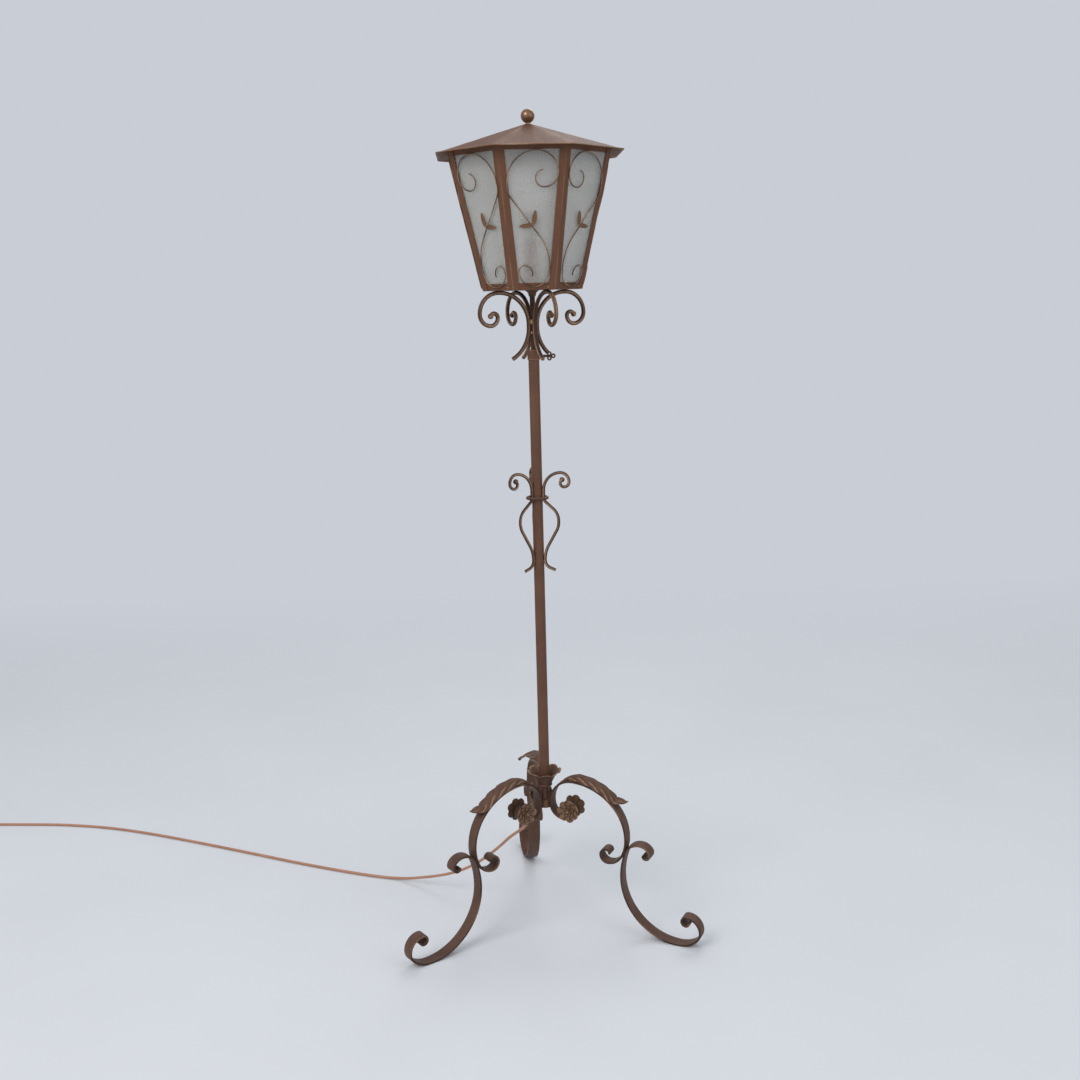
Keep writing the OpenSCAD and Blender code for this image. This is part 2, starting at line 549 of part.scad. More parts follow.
function smooth(p, n) = concat([p[0]], [for (i = [0:len(p) - 2], j = [1:n])
  hermite(p[max(i - 1, 0)], p[i], p[i + 1], p[min(i + 2, len(p) - 1)], j / n)]);
function ahead(p, i) = let (d = p[min(i + 1, len(p) - 1)] - p[max(i - 1, 0)]) d / norm(d);
function span(p) = [for (i = [1:len(p) - 1]) norm(p[i] - p[i - 1])] * [for (i = [1:len(p) - 1]) 1];
// A tube round points in space, its rings square to the way ahead and level across
module cord_tube(p, n, from_dir, to_dir) skin([for (i = [0:len(p) - 1])
  let (d = i == 0 ? from_dir : i == len(p) - 1 ? to_dir : ahead(p, i),
    u = cross(d, [0, 0, 1]) / norm(cross(d, [0, 0, 1])), v = cross(u, d))
  [for (k = [0:n - 1]) let (a = 360 * (k + 0.5) / n) p[i] + cord_r * (u * cos(a) + v * sin(a))]]);
run_points = smooth(cord_points, 2);
module cord_run() color(copper) cord_tube(run_points, 8, exit_dir, [-1, 0, 0]);
// Two turns in, half a turn to climb, then out again on the second layer
function coil_radius(t) = t < 2.25 ? coil_r - coil_pitch * t
  : t < 2.5 ? coil_r - coil_pitch * (4.5 - t)
  : coil_r - coil_pitch * (4.5 - t);
function coil_height(t) = let (u = min(1, max(0, (t - 2) / 0.5))) cord_r + layer * u * u * (3 - 2 * u);
coil_rings = 24;
coil_loops = [for (i = [1:coil_turns * coil_rings]) let (t = i / coil_rings, a = -90 - 360 * t)
  [coil_at.x + coil_radius(t) * cos(a), coil_at.y + coil_radius(t) * sin(a), coil_height(t)]];
plug_half = 6.9;                       // half the plug's thickness
plug_at = last(coil_loops) + [-60, 0, plug_half + gap - last(coil_loops).z];
coil_points = concat([[coil_at.x, coil_at.y - coil_r, cord_r]], coil_loops,
  [last(coil_loops) + [-10, 0, 0], last(coil_loops) + [-28, 0, -0.4], plug_at + [16, 0, 0.3],
   plug_at + [7, 0, 0], plug_at]);
module cord_coil() color(copper) cord_tube(coil_points, 6, [-1, 0, 0], [-1, 0, 0]);
coil_least = min([for (i = [0:2:len(coil_points) - 14], j = [i + 12:len(coil_points) - 1])
  norm(coil_points[i] - coil_points[j])]) - cord_d;
echo(coil_gap = coil_least, cord_length = span(run_points) + span(coil_points));
echo(hub_z = hub_z, leg_k = leg_k, lantern_z = lantern_z, body_top = body_top, bar_z = bar_z,
  key_z = key_z, collar_z = collar_z, holder_z = holder_z, bulb_neck_z = bulb_neck_z, ball_z = ball_z);

module cord_grommet() color("#3a2c24") at_exit() difference() {
  rotate_extrude() polygon([[cord_r + 0.3, -4.8], [grommet_r, -4.8], [grommet_r, 7.4], [5.4, 8],
    [5.4, 9.5], [cord_r + 1, grommet_l], [cord_r + 0.3, grommet_l]]);
  translate([0, 0, grommet_l + 1]) cylinder(r = 1, h = 1);
}
module plug_body() color("#7d5a42") translate(plug_at) union() {
  translate([-10, 0, 0]) rotate([0, 90, 0]) cylinder(r1 = 5.6, r2 = 4.2, h = 9.9);
  translate([-37, 0, 0]) rotate([0, 90, 0]) linear_extrude(27.2, center = false)
    intersection() {
      square([2 * plug_half, 35], center = true);
      circle(17.5);
    }
}
module plug_pins() color("silver") translate(plug_at) for (y = [-9.3, 9.3])
  translate([-56, y, 0]) rotate([0, 90, 0]) cylinder(r = 2, h = 18.9);

finial_ball();
finial_rod();
roof();
bridge_bar();
bridge_nut();
top_ring();
corner_posts();
bottom_ring();
lantern_floor();
glass_pane(0);  // glass_pane_1
glass_pane(1);  // glass_pane_2
glass_pane(2);  // glass_pane_3
glass_pane(3);  // glass_pane_4
glass_pane(4);  // glass_pane_5
glass_pane(5);  // glass_pane_6
glass_pane(6);  // glass_pane_7
glass_pane(7);  // glass_pane_8
pane_scrolls();
bulb_glass();
bulb_cap();
lampholder();
candle_sleeve();
floor_nut();
stem();
stem_cup();
bracket(0);  // bracket_1
bracket(1);  // bracket_2
bracket(2);  // bracket_3
bracket(3);  // bracket_4
collar();
collar_nut();
switch_body();
switch_key();
pole();
mid_ring();
mid_scroll(0);  // mid_scroll_1
mid_scroll(1);  // mid_scroll_2
mid_scroll(2);  // mid_scroll_3
leaf_cup();
pole_plug();
hub_neck();
hub_block();
hub_tube();
upper_scroll(0);  // upper_scroll_1
upper_scroll(1);  // upper_scroll_2
upper_scroll(2);  // upper_scroll_3
lower_scroll(0);  // lower_scroll_1
lower_scroll(1);  // lower_scroll_2
lower_scroll(2);  // lower_scroll_3
acanthus(0);  // acanthus_1
acanthus(1);  // acanthus_2
acanthus(2);  // acanthus_3
rosettes();
rosette_pins();
cord_grommet();
cord_run();
cord_coil();
plug_body();
plug_pins();
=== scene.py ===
"""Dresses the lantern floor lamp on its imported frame: straps, leaves, rosettes, wires, glass."""
import math
from types import SimpleNamespace

import bpy
import numpy as np
from bpy.props import FloatProperty, FloatVectorProperty, IntProperty, PointerProperty
from mathutils import Matrix, Vector


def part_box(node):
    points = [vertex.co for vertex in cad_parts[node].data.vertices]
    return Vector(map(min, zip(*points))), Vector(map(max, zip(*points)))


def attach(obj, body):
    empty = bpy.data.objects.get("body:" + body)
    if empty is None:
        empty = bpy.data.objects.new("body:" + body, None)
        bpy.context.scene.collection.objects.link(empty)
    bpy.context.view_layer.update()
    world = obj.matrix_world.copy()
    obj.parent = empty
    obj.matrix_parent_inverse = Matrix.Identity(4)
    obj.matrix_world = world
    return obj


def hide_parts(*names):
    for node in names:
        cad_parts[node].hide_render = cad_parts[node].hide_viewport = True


bl_info = {
    "name": "Lantern Floor Lamp",
    "version": (1, 0, 0),
    "blender": (4, 5, 0),
    "location": "View3D > Sidebar > Lamp",
    "description": "Makes the straps, leaves, rosettes, wires and glass of a lantern floor lamp",
    "category": "Add Mesh",
}

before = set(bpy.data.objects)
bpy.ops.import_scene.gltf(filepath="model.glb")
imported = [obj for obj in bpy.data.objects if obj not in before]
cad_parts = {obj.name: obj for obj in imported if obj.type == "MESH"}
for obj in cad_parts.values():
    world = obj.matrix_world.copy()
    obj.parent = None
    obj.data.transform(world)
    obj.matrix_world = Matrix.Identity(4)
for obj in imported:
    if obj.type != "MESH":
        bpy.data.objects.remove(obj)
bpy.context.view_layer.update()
MM = 0.001
GAP = 0.1  # left between pieces that touch, in millimetres
EIGHTH = 45  # degrees from one face of the lantern to the next
BACK_LEG = 1  # the leg that reaches further than the others


def srgb(red, green, blue):
    """A colour as seen on a screen, 0 to 255, as the linear numbers that shaders take."""
    c = np.array([red, green, blue]) / 255
    return tuple(float(x) for x in np.where(c < 0.04045, c / 12.92, ((c + 0.055) / 1.055) ** 2.4))


def dimmed(colour, k):
    return tuple(k * x for x in colour)


# ---- finishes ------------------------------------------------------------------------

class Signal:
    """A number that varies over a surface. +, - and * with numbers or signals add Math nodes."""

    def __init__(self, finish, socket):
        self.finish = finish
        self.socket = socket

    def reckon(self, operation, first, second):
        return self.finish.node("ShaderNodeMath", {"operation": operation}, {0: first, 1: second})

    def __add__(self, other):
        return self.reckon("ADD", self, other)

    def __sub__(self, other):
        return self.reckon("SUBTRACT", self, other)

    def __rsub__(self, other):
        return self.reckon("SUBTRACT", other, self)

    def __mul__(self, other):
        return self.reckon("MULTIPLY", self, other)

    __radd__ = __add__
    __rmul__ = __mul__

    def held(self, low=0.0, high=1.0):
        """The signal kept between two numbers."""
        return self.finish.node("ShaderNodeClamp", {}, {"Value": self, "Min": low, "Max": high})

    def ramp(self, low, high):
        """0 below low, 1 above high and a smooth rise between."""
        return self.finish.node("ShaderNodeMapRange", {"interpolation_type": "SMOOTHSTEP"},
                                {"Value": self, "From Min": low, "From Max": high})


class Finish:
    """A material being made: one shader, fed by the nodes that node() adds."""

    def __init__(self, name, shader_values):
        self.material = bpy.data.materials.new(name)
        self.material.use_nodes = True
        self.tree = self.material.node_tree
        self.shader = next(n for n in self.tree.nodes if n.type == "BSDF_PRINCIPLED")
        for socket, value in shader_values.items():
            self.set(self.shader.inputs[socket], value)
        self.place = self.node("ShaderNodeTexCoord", {}, {}, "Object")

    def set(self, socket, value):
        if isinstance(value, Signal):
            self.tree.links.new(value.socket, socket)
        elif hasattr(value, "__len__") and len(value) == 3 and socket.type == "RGBA":
            socket.default_value = (*value, 1)
        else:
            socket.default_value = value

    def node(self, kind, settings, inputs, output=0):
        """Adds any node: its settings first, then the values or links of its sockets."""
        made = self.tree.nodes.new(kind)
        for key, value in settings.items():
            setattr(made, key, value)
        for key, value in inputs.items():
            self.set(made.inputs[key], value)
        return Signal(self, made.outputs[output])

    def noise(self, per_metre, detail, stretch=(1, 1, 1)):
        """Cloudy noise with that many blots a metre, longer where stretch is under 1."""
        at = self.node("ShaderNodeMapping", {}, {"Vector": self.place, "Scale": stretch})
        return self.node("ShaderNodeTexNoise", {},
                         {"Vector": at, "Scale": per_metre, "Detail": detail})

    def dimples(self, per_metre):
        """Rounded hammer marks, that many a metre."""
        return self.node("ShaderNodeTexVoronoi", {"feature": "SMOOTH_F1"},
                         {"Vector": self.place, "Scale": per_metre, "Smoothness": 0.6})

    def painted(self, mesh_layer):
        """A number that build() wrote on the mesh; 0 on a mesh without it."""
        return self.node("ShaderNodeAttribute", {"attribute_name": mesh_layer}, {}, "Fac")

    def mix(self, amount, first, second):
        """Two colours mixed. The node has sockets of the same names for other kinds of value, so
        those for colours go by number."""
        return self.node("ShaderNodeMix", {"data_type": "RGBA"},
                         {0: amount, 6: first, 7: second}, 2)

    def feed(self, socket, signal):
        self.set(self.shader.inputs[socket], signal)

    def bump(self, height, strength, depth_mm):
        self.feed("Normal", self.node("ShaderNodeBump", {}, {
            "Height": height, "Strength": strength, "Distance": depth_mm * MM}))


FINISHES = {}


def finish_of(name):
    if name not in FINISHES:
        FINISHES[name] = RECIPES[name](bpy.context.scene.lamp_finishes)
    return FINISHES[name]


def bronze_paint(name, body, shade, rub, rub_all, hammer, sheen, metal, clouds, shine):
    """Brown paint over iron: cloudy body colour, painted shade on narrow faces, flanks and gaps,
    and rubbed gold with painted highlights on ridges and edges. rub_all adds rubbed streaks
    everywhere, hammer sets how strong the dents are, sheen the roughness, clouds the contrast of
    the body colour and shine the specular level."""
    f = Finish(name, {"Metallic": metal, "Specular IOR Level": shine})
    cloud = f.noise(16, 4).ramp(0.3, 0.7)
    grain = f.noise(240, 3).ramp(0.3, 0.75)
    drag = f.noise(60, 4, (1, 1, 0.25)).ramp(0.42, 0.72)
    colour = f.mix(cloud * clouds + grain * 0.4 * clouds, body, shade)
    # Painted shade: the mesh's shade layer pulls the colour towards the shade colour.
    colour = f.mix((f.painted("hollow") * 0.8).held(), colour, shade)
    # Rubbed gold and painted highlights from the mesh's layer, plus rubbed streaks everywhere.
    wear_and_highlight = (f.painted("rub") * (0.5 + 0.6 * grain) + drag * rub_all).held()
    f.feed("Base Color", f.mix(wear_and_highlight, colour, rub))
    f.feed("Roughness", (sheen + 0.16 * grain - 0.1 * wear_and_highlight).held(0.2, 0.8))
    f.bump(f.dimples(150) * 0.7 + f.noise(420, 2) * 0.3, hammer, 0.5)
    return f.material


def turned_brass(c):
    f = Finish("brass", {"Metallic": 1.0})
    tarnish = f.noise(90, 3).ramp(0.35, 0.7)
    f.feed("Base Color", f.mix(tarnish, srgb(205, 170, 108), srgb(168, 132, 80)))
    f.feed("Roughness", 0.26 + 0.14 * f.noise(300, 2, (1, 1, 0.1)))
    return f.material


def frosted_glass(c):
    """Sand-blasted glass: it lets light through and blurs what is behind it."""
    f = Finish("frosted_glass", {"IOR": 1.45, "Transmission Weight": 0.78})
    cloud = f.noise(9, 3).ramp(0.3, 0.7)
    f.feed("Base Color", f.mix(cloud * 0.35, tuple(c.glass), dimmed(c.glass, 0.92)))
    f.feed("Roughness", 0.25 + 0.06 * f.noise(700, 2))
    f.bump(f.noise(2600, 2), 0.06, 0.1)
    return f.material


def opal_glass(c):
    f = Finish("opal_glass", {"Roughness": 0.22, "Coat Weight": 0.3})
    f.feed("Base Color", f.mix(f.noise(30, 2), srgb(240, 238, 228), srgb(228, 225, 214)))
    return f.material


def moulded(name, colour, sheen):
    """Moulded plastic with a fine even grain."""
    f = Finish(name, {})
    f.feed("Base Color", f.mix(f.noise(50, 3) * 0.4, colour, dimmed(colour, 0.75)))
    f.feed("Roughness", sheen + 0.1 * f.noise(500, 2))
    f.bump(f.noise(900, 2), 0.15, 0.15)
    return f.material


def cord_sheath(c):
    """Copper brown sheath, darker in blotches, with the faint twist of its cores."""
    f = Finish("cord", {"Coat Roughness": 0.3})
    around = f.painted("around")
    twist = f.node("ShaderNodeMath", {"operation": "SINE"},
                   {0: around * 2 + f.painted("run") * 210})
    blotches = f.noise(25, 3).ramp(0.35, 0.7) * 0.6
    f.feed("Base Color", f.mix(blotches, tuple(c.cord), dimmed(c.cord, 0.78)))
    f.feed("Roughness", 0.36 + 0.1 * f.noise(200, 2))
    f.feed("Coat Weight", 0.15 + 0.1 * f.noise(60, 2))
    f.bump(twist * 0.5, 0.25, 0.12)
    return f.material


def plated_steel(c):
    f = Finish("pins", {"Metallic": 1.0})
    f.feed("Base Color", f.mix(f.noise(120, 2), srgb(205, 205, 202), srgb(178, 178, 176)))
    f.feed("Roughness", 0.22 + 0.12 * f.noise(200, 2, (0.1, 1, 1)))
    return f.material


def pale_floor(c):
    """Painted studio floor with faint clouds. Behind the lamp, where no shadow falls, the rays
    that see it meet a plain even colour, so that the backdrop doesn't darken with distance."""
    f = Finish("floor", {"Specular IOR Level": 0.25})
    cloud = f.noise(2.2, 4).ramp(0.3, 0.7)
    f.feed("Base Color", f.mix(cloud * 0.5, tuple(c.floor), dimmed(c.floor, 0.95)))
    f.feed("Roughness", 0.62 + 0.1 * f.noise(8, 3))
    ray = [f.node("ShaderNodeLightPath", {}, {}, kind)
           for kind in ("Is Camera Ray", "Is Glossy Ray", "Is Transmission Ray")]
    depth = f.node("ShaderNodeSeparateXYZ", {}, {"Vector": f.place}, "Y").ramp(1.1, 3.2)
    glow = f.node("ShaderNodeEmission", {}, {"Color": tuple(c.backdrop), "Strength": 1.0})
    both = f.node("ShaderNodeMixShader", {}, {0: (ray[0] + ray[1] + ray[2]).held() * depth,
                                              1: Signal(f, f.shader.outputs[0]), 2: glow})
    out = next(n for n in f.tree.nodes if n.type == "OUTPUT_MATERIAL")
    f.set(out.inputs["Surface"], both)
    return f.material


def painted_iron(name, body, *looks):
    """A recipe for the brown paint: its body colour is a setting of LampFinishes."""
    return lambda c: bronze_paint(name, tuple(getattr(c, body)), tuple(c.shade), tuple(c.rub),
                                  *looks)


RECIPES = {
    # The six numbers of a paint: rub_all, hammer, sheen, metal, clouds, shine
    "bronze": painted_iron("bronze", "paint", 0.05, 0.3, 0.44, 0.12, 0.3, 0.14),
    "pole": painted_iron("pole_paint", "pole", 0.02, 0.1, 0.4, 0.1, 0.22, 0.2),
    "sheet": painted_iron("sheet_paint", "sheet", 0.0, 0.05, 0.5, 0.06, 0.14, 0.12),
    "rod": painted_iron("rod_paint", "rod", 0.0, 0.15, 0.34, 0.1, 0.25, 0.1),
    "wire": painted_iron("wire_paint", "rod", 0.3, 0.2, 0.3, 0.3, 0.4, 0.3),
    "blade": painted_iron("blade_paint", "blade", 0.02, 0.1, 0.5, 0.1, 0.2, 0.15),
    "gilt_bronze": painted_iron("gilt_bronze", "gilt", 0.12, 0.3, 0.4, 0.15, 0.45, 0.2),
    "ball": painted_iron("ball_paint", "gilt", 0.3, 0.05, 0.26, 0.6, 0.2, 0.5),
    "brass": turned_brass,
    "frosted_glass": frosted_glass,
    "opal_glass": opal_glass,
    "sleeve": lambda c: moulded("sleeve", srgb(168, 84, 34), 0.6),
    "dark_plastic": lambda c: moulded("dark_plastic", srgb(44, 36, 32), 0.45),
    "cord": cord_sheath,
    "plug": lambda c: moulded("plug", srgb(150, 96, 66), 0.42),
    "pins": plated_steel,
    "floor": pale_floor,
}


# ---- surfaces ------------------------------------------------------------------------

def rad(degrees):
    return np.radians(degrees)


def circle(count):
    """That many angles, evenly round a full turn."""
    return np.linspace(0, 2 * np.pi, count, endpoint=False)


def arc(x, y, radius, first, last, count):
    """Places on an arc about a centre, between two angles in degrees."""
    a = rad(np.linspace(first, last, count))
    return np.stack([x + radius * np.cos(a), y + radius * np.sin(a)], 1)


def grid(x, y, z):
    """Points from three arrays that stretch to one size."""
    return np.stack(np.broadcast_arrays(x, y, z), -1)


def route(place, moves, turn=4.0, run=4.0):
    """A flat line of places x, y, heading from a bend list: [0, length] is straight and
    [radius, angle] turns, to the left when positive. On an arc the place is the centre plus
    the radius times sine and cosine of the heading. No step is longer than turn in degrees or
    than about twice run in millimetres."""
    x, y, h = place
    line = [np.array([[x, y, h]], float)]
    for r, a in moves:
        if r == 0:
            t = np.linspace(0, a, max(2, int(abs(a) / run) + 2))[1:, None]
            part = np.hstack([x + t * math.cos(rad(h)), y + t * math.sin(rad(h)), h + 0 * t])
        else:
            along = abs(rad(a)) * r
            n = max(3, math.ceil(abs(a) / turn), math.ceil(along / (2 * run)))
            g = h + a * np.arange(1, n + 1) / n
            q = r * np.sign(a)
            part = np.stack([x + q * (np.sin(rad(g)) - math.sin(rad(h))),
                             y + q * (math.cos(rad(h)) - np.cos(rad(g))), g], 1)
        line.append(part)
        x, y, h = part[-1]
    return np.concatenate(line)


def backwards(line):
    return line[::-1] + [0, 0, 180]


def beside(place, distance):
    """The place, or line of places, at a distance to the left."""
    x, y, h = np.moveaxis(np.asarray(place, float), -1, 0)
    return np.stack([x - distance * np.sin(rad(h)), y + distance * np.cos(rad(h)), h], -1)


def sized(moves, k):
    return [[0, a * k] if r == 0 else [r * k, a] for r, a in moves]


def both_ways(start, down, up):
    """The line that runs from the end of one bend list, through start, to the end of the other."""
    x, y, h = start
    return np.concatenate([backwards(route([x, y, h + 180], down))[:-1], route(start, up)])


def travelled(line):
    """How far along the line each place is."""
    step = np.linalg.norm(np.diff(line[:, :2], axis=0), axis=1)
    return np.concatenate([[0], np.cumsum(step)])


def carried(line, left, side):
    """A section carried along a flat upright line: left of the line in its plane by one array
    and out of the plane by the other. Rows follow the line and columns the section."""
    x, z, h = (line[:, i:i + 1] for i in range(3))
    return grid(x - left * np.sin(rad(h)), side, z + left * np.cos(rad(h)))


def turned(points, degrees):
    """Points turned about the pole's axis."""
    c, s = math.cos(rad(degrees)), math.sin(rad(degrees))
    return points @ np.array([[c, s, 0], [-s, c, 0], [0, 0, 1]])


def revolved(profile, sides=64):
    """A profile of radius and height turned about the axis."""
    a = circle(sides)
    r, z = (np.asarray(profile, float)[:, i:i + 1] for i in range(2))
    return grid(r * np.cos(a), r * np.sin(a), z)


def bead(across, tall, at, rings=9, sides=12):
    """A ball or a drop of braze at a point: its half-width times the sine and its half-height
    times the cosine of an angle that stops just short of both poles."""
    a = rad(np.linspace(4, 176, rings))
    return revolved(np.stack([across * np.sin(a), -tall * np.cos(a)], 1), sides) + at


def hoop(radius, bar, count, sides):
    """A round bar bent to a level ring: the ring's radius and the bar's, along two angles."""
    a, b = circle(count)[:, None], circle(sides)
    across = radius + bar * np.cos(b)
    return grid(across * np.cos(a), across * np.sin(a), bar * np.sin(b))


def rounded_box(width, height, corner, per_corner):
    """The outline of a rectangle with round corners, as two arrays. It starts just past the
    middle of the right-hand side, so that an end strip of a Shell runs straight across."""
    x, y = width / 2 - corner, height / 2 - corner
    quarters = [arc(sx * x, sy * y, corner, 90 * i, 90 * i + 90, per_corner)
                for i, (sx, sy) in enumerate(((1, 1), (-1, 1), (-1, -1), (1, -1)))]
    return np.concatenate(quarters).T


def hermite(points, per_span):
    """A smooth line through points: each span is the cubic whose ends look along the
    neighbours on both sides."""
    p = np.asarray(points, float)
    before, after = np.vstack([p[:1], p[:-1]])[:-1], np.vstack([p[1:], p[-1:]])[1:]
    a, b = p[:-1], p[1:]
    span = np.linalg.norm(b - a, axis=1)[:, None]

    def slope(far, near):
        d = far - near
        return d * span / np.maximum(np.linalg.norm(d, axis=1)[:, None], 1e-6)

    m0, m1 = slope(b, before), slope(after, a)
    t = (np.arange(1, per_span + 1) / per_span)[:, None, None]
    made = (a * (2 * t**3 - 3 * t**2 + 1) + b * (3 * t**2 - 2 * t**3)
            + m0 * (t**3 - 2 * t**2 + t) + m1 * (t**3 - t**2))
    return np.vstack([p[:1], made.transpose(1, 0, 2).reshape(-1, 3)])


def tube(points, radius, sides):
    """A round tube along a line in space: each ring is square to the line and level across."""
    p = np.asarray(points, float)
    ahead = np.gradient(p, axis=0)
    ahead /= np.linalg.norm(ahead, axis=1)[:, None]
    across = np.cross(ahead, [0, 0, 1])
    across /= np.linalg.norm(across, axis=1)[:, None]
    up = np.cross(across, ahead)
    a = (circle(sides) + np.pi / sides)[None, :, None]
    return p[:, None] + radius * (across[:, None] * np.cos(a) + up[:, None] * np.sin(a))


class Shell:
    """A closed skin over a grid of points in millimetres. Each row closes on itself, and the end
    rows are closed with a strip, or joined to each other where loop is true. layers holds
    numbers for the finish, one for each point."""

    def __init__(self, points, loop=False, **layers):
        m, n = points.shape[:2]
        self.points = points
        self.layers = {k: np.broadcast_to(v, (m, n)).ravel() for k, v in layers.items()}
        i = np.arange(m * n).reshape(m, n)
        low, high = (i, np.roll(i, -1, 0)) if loop else (i[:-1], i[1:])
        quads = np.stack([low, np.roll(low, -1, 1), np.roll(high, -1, 1), high], -1).reshape(-1, 4)
        if not loop:
            k = np.arange(n // 2 - 1)
            end = np.stack([k, k + 1, n - 2 - k, n - 1 - k], 1)
            quads = np.vstack([quads, end[:, ::-1], end + (m - 1) * n])
        p = points.reshape(-1, 3)
        a, b, c, d = (p[quads[:, j]] for j in range(4))
        inside = np.einsum("ij,ij->", a, np.cross(b, c)) + np.einsum("ij,ij->", a, np.cross(c, d))
        self.quads = quads if inside > 0 else quads[:, ::-1]


def build(name, shells, finish, *instead_of, body="stand", sharp=40):
    """Puts the shells into one mesh object that rides on a body in place of CAD nodes. Edges that
    fold by more than sharp degrees stay crisp."""
    counts = [s.points[..., 0].size for s in shells]
    start = np.cumsum([0] + counts)
    verts = np.concatenate([s.points.reshape(-1, 3) for s in shells]) * MM
    quads = np.concatenate([s.quads + i for s, i in zip(shells, start)])
    mesh = bpy.data.meshes.new(name)
    mesh.from_pydata(verts.tolist(), [], quads.tolist())
    for layer in sorted({k for s in shells for k in s.layers}):
        values = [s.layers.get(layer, np.zeros(n)) for s, n in zip(shells, counts)]
        mesh.attributes.new(layer, "FLOAT", "POINT").data.foreach_set(
            "value", np.concatenate(values).astype(np.float32))
    mesh.shade_smooth()
    mesh.set_sharp_from_angle(angle=rad(sharp))
    mesh.validate()
    piece = bpy.data.objects.new(name, mesh)
    bpy.context.scene.collection.objects.link(piece)
    mesh.materials.append(finish_of(finish))
    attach(piece, body)
    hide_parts(*instead_of)
    return piece


def dress(node, finish):
    """Gives a CAD node its finish."""
    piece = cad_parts[node]
    piece.data.materials.clear()
    piece.data.materials.append(finish_of(finish))


def corners(node):
    """The lowest and highest corner of a CAD node, in millimetres."""
    return tuple(np.array(corner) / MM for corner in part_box(node))


def lumpy(t, size, seed):
    """The slight unevenness of hand work: three sines of the distance, with fixed phases."""
    waves = (np.sin(t / 13 + seed) + 0.6 * np.sin(t / 6.1 + 2.3 * seed)
             + 0.4 * np.sin(t / 29 + 5 * seed))
    return size * waves / 2


def rod(line, r, seed, ball):
    """A round bar along a flat line, a little uneven, with a ball forged on its end: the ball's
    rings follow its radius times sine and cosine. A painted highlight in gold runs along both
    flanks and the left of the line, in patches, and painted shade darkens the rounds between them."""
    radius = r + lumpy(travelled(line), 0.03 * r, seed)
    neck = math.asin(min(1, radius[-1] / ball))
    a = np.linspace(neck + 0.18, math.pi - 0.08, 9)
    x, y, h = line[-1]
    far = ball * (math.cos(neck) - np.cos(a))
    end = np.stack([x + far * math.cos(rad(h)), y + far * math.sin(rad(h)), h + 0 * far], 1)
    radius = np.concatenate([radius, ball * np.sin(a)])
    a = circle(16)
    points = carried(np.vstack([line, end]), radius[:, None] * np.cos(a),
                     radius[:, None] * np.sin(a))
    # Painted highlights along the flanks and the left of the line; painted shade between them
    highlight_streak = 0.95 * np.abs(np.sin(a)) ** 8 + 0.6 * np.clip(np.cos(a), 0, 1) ** 8
    patchy = 0.75 + 0.35 * np.sin(np.arange(len(radius)) / 9 + 3 * seed)
    return Shell(points, rub=highlight_streak * patchy[:, None], hollow=1.2 * np.sin(2 * a)[None] ** 2)


# ---- sizes and colours ---------------------------------------------------------------

def length(name, millimetres, note):
    return FloatProperty(name=name, description=note, default=millimetres * MM, min=0.1 * MM,
                         unit="LENGTH")


def angle(name, degrees, note):
    return FloatProperty(name=name, description=note, default=math.radians(degrees),
                         subtype="ANGLE")


def colour(name, on_screen, note):
    return FloatVectorProperty(name=name, description=note, default=srgb(*on_screen),
                               subtype="COLOR", size=3, min=0, max=1)


class LampSizes(bpy.types.PropertyGroup):
    """Sizes of the lamp. They are kept in metres, and in_millimetres() hands them out."""
    leg_reach: length("Leg reach", 290, "From the pole's axis to where a foot touches the floor")
    leg_turn: angle("Leg angle", -24.8, "Angle of the right leg about the pole")
    back_leg_off: angle("Back leg", 2.4, "How far the back leg stands off the even spacing")
    strap_w: length("Strap width", 26, "Width of the leg strap")
    strap_t: length("Strap thickness", 4, "Thickness of the leg strap")
    back_leg_long: FloatProperty(
        name="Back leg reach", default=1.16, min=1, max=1.2, unit="NONE",
        description="How many times as far as the others the back leg reaches")
    leaf_half: length("Leaf half-width", 18, "Widest half-width of a leaf")
    leaf_lobes: IntProperty(name="Leaf lobes", description="Lobes on each side of a leaf",
                            default=6, min=3)
    hub_r: length("Hub radius", 15, "Radius of the block that the legs are welded to")
    rosette_d: length("Rosette", 47, "Diameter of a rosette")
    rosette_span: length("Rosette span", 38, "Distance between the two rosettes of a leg")
    petals: IntProperty(name="Petals", description="Petals of a rosette", default=7, min=5)
    cup_d: length("Cup", 66, "Diameter of the cup that the pole stands in")
    cup_h: length("Cup height", 23, "Height of the cup")
    pole_d: length("Pole", 21, "Diameter of the pole")
    mid_rod_d: length("Ornament rod", 6, "Thickness of the bars in the pole's ornament")
    ring_z: length("Ornament height", 890, "Height of the ring of the pole's ornament")
    bracket_rod_d: length("Bracket rod", 8, "Thickness of the bars of the brackets")
    bracket_turn: angle("Bracket angle", -63.2, "Angle of the first bracket about the pole")
    bracket_off: angle("First bracket", 4, "How far the first bracket stands off the even spacing")
    waist_rise: length("Waist", 46, "Height of the brackets' waist over the collar")
    tube_d: length("Stem", 10, "Diameter of the threaded stem")
    foot_r: length("Lantern foot", 101, "Corner radius of the lantern at its foot")
    head_r: length("Lantern head", 163, "Corner radius of the lantern at its top")
    body_h: length("Lantern height", 254, "Height of the glazed body")
    roof_r: length("Roof", 186, "Corner radius of the roof")
    roof_h: length("Roof height", 58, "Height of the roof")
    lantern_turn: angle("Lantern angle", 2.5, "Angle of the lantern about the pole")
    frame_w: length("Frame width", 12, "Width of a corner post's flange")
    sheet: length("Sheet", 1.2, "Sheet of the lantern's frame")
    wire_d: length("Wire", 2.4, "Thickness of the wire on the panes")
    ball_d: length("Roof ball", 26, "Diameter of the ball on the roof")
    cord_d: length("Cord", 6, "Diameter of the cord")


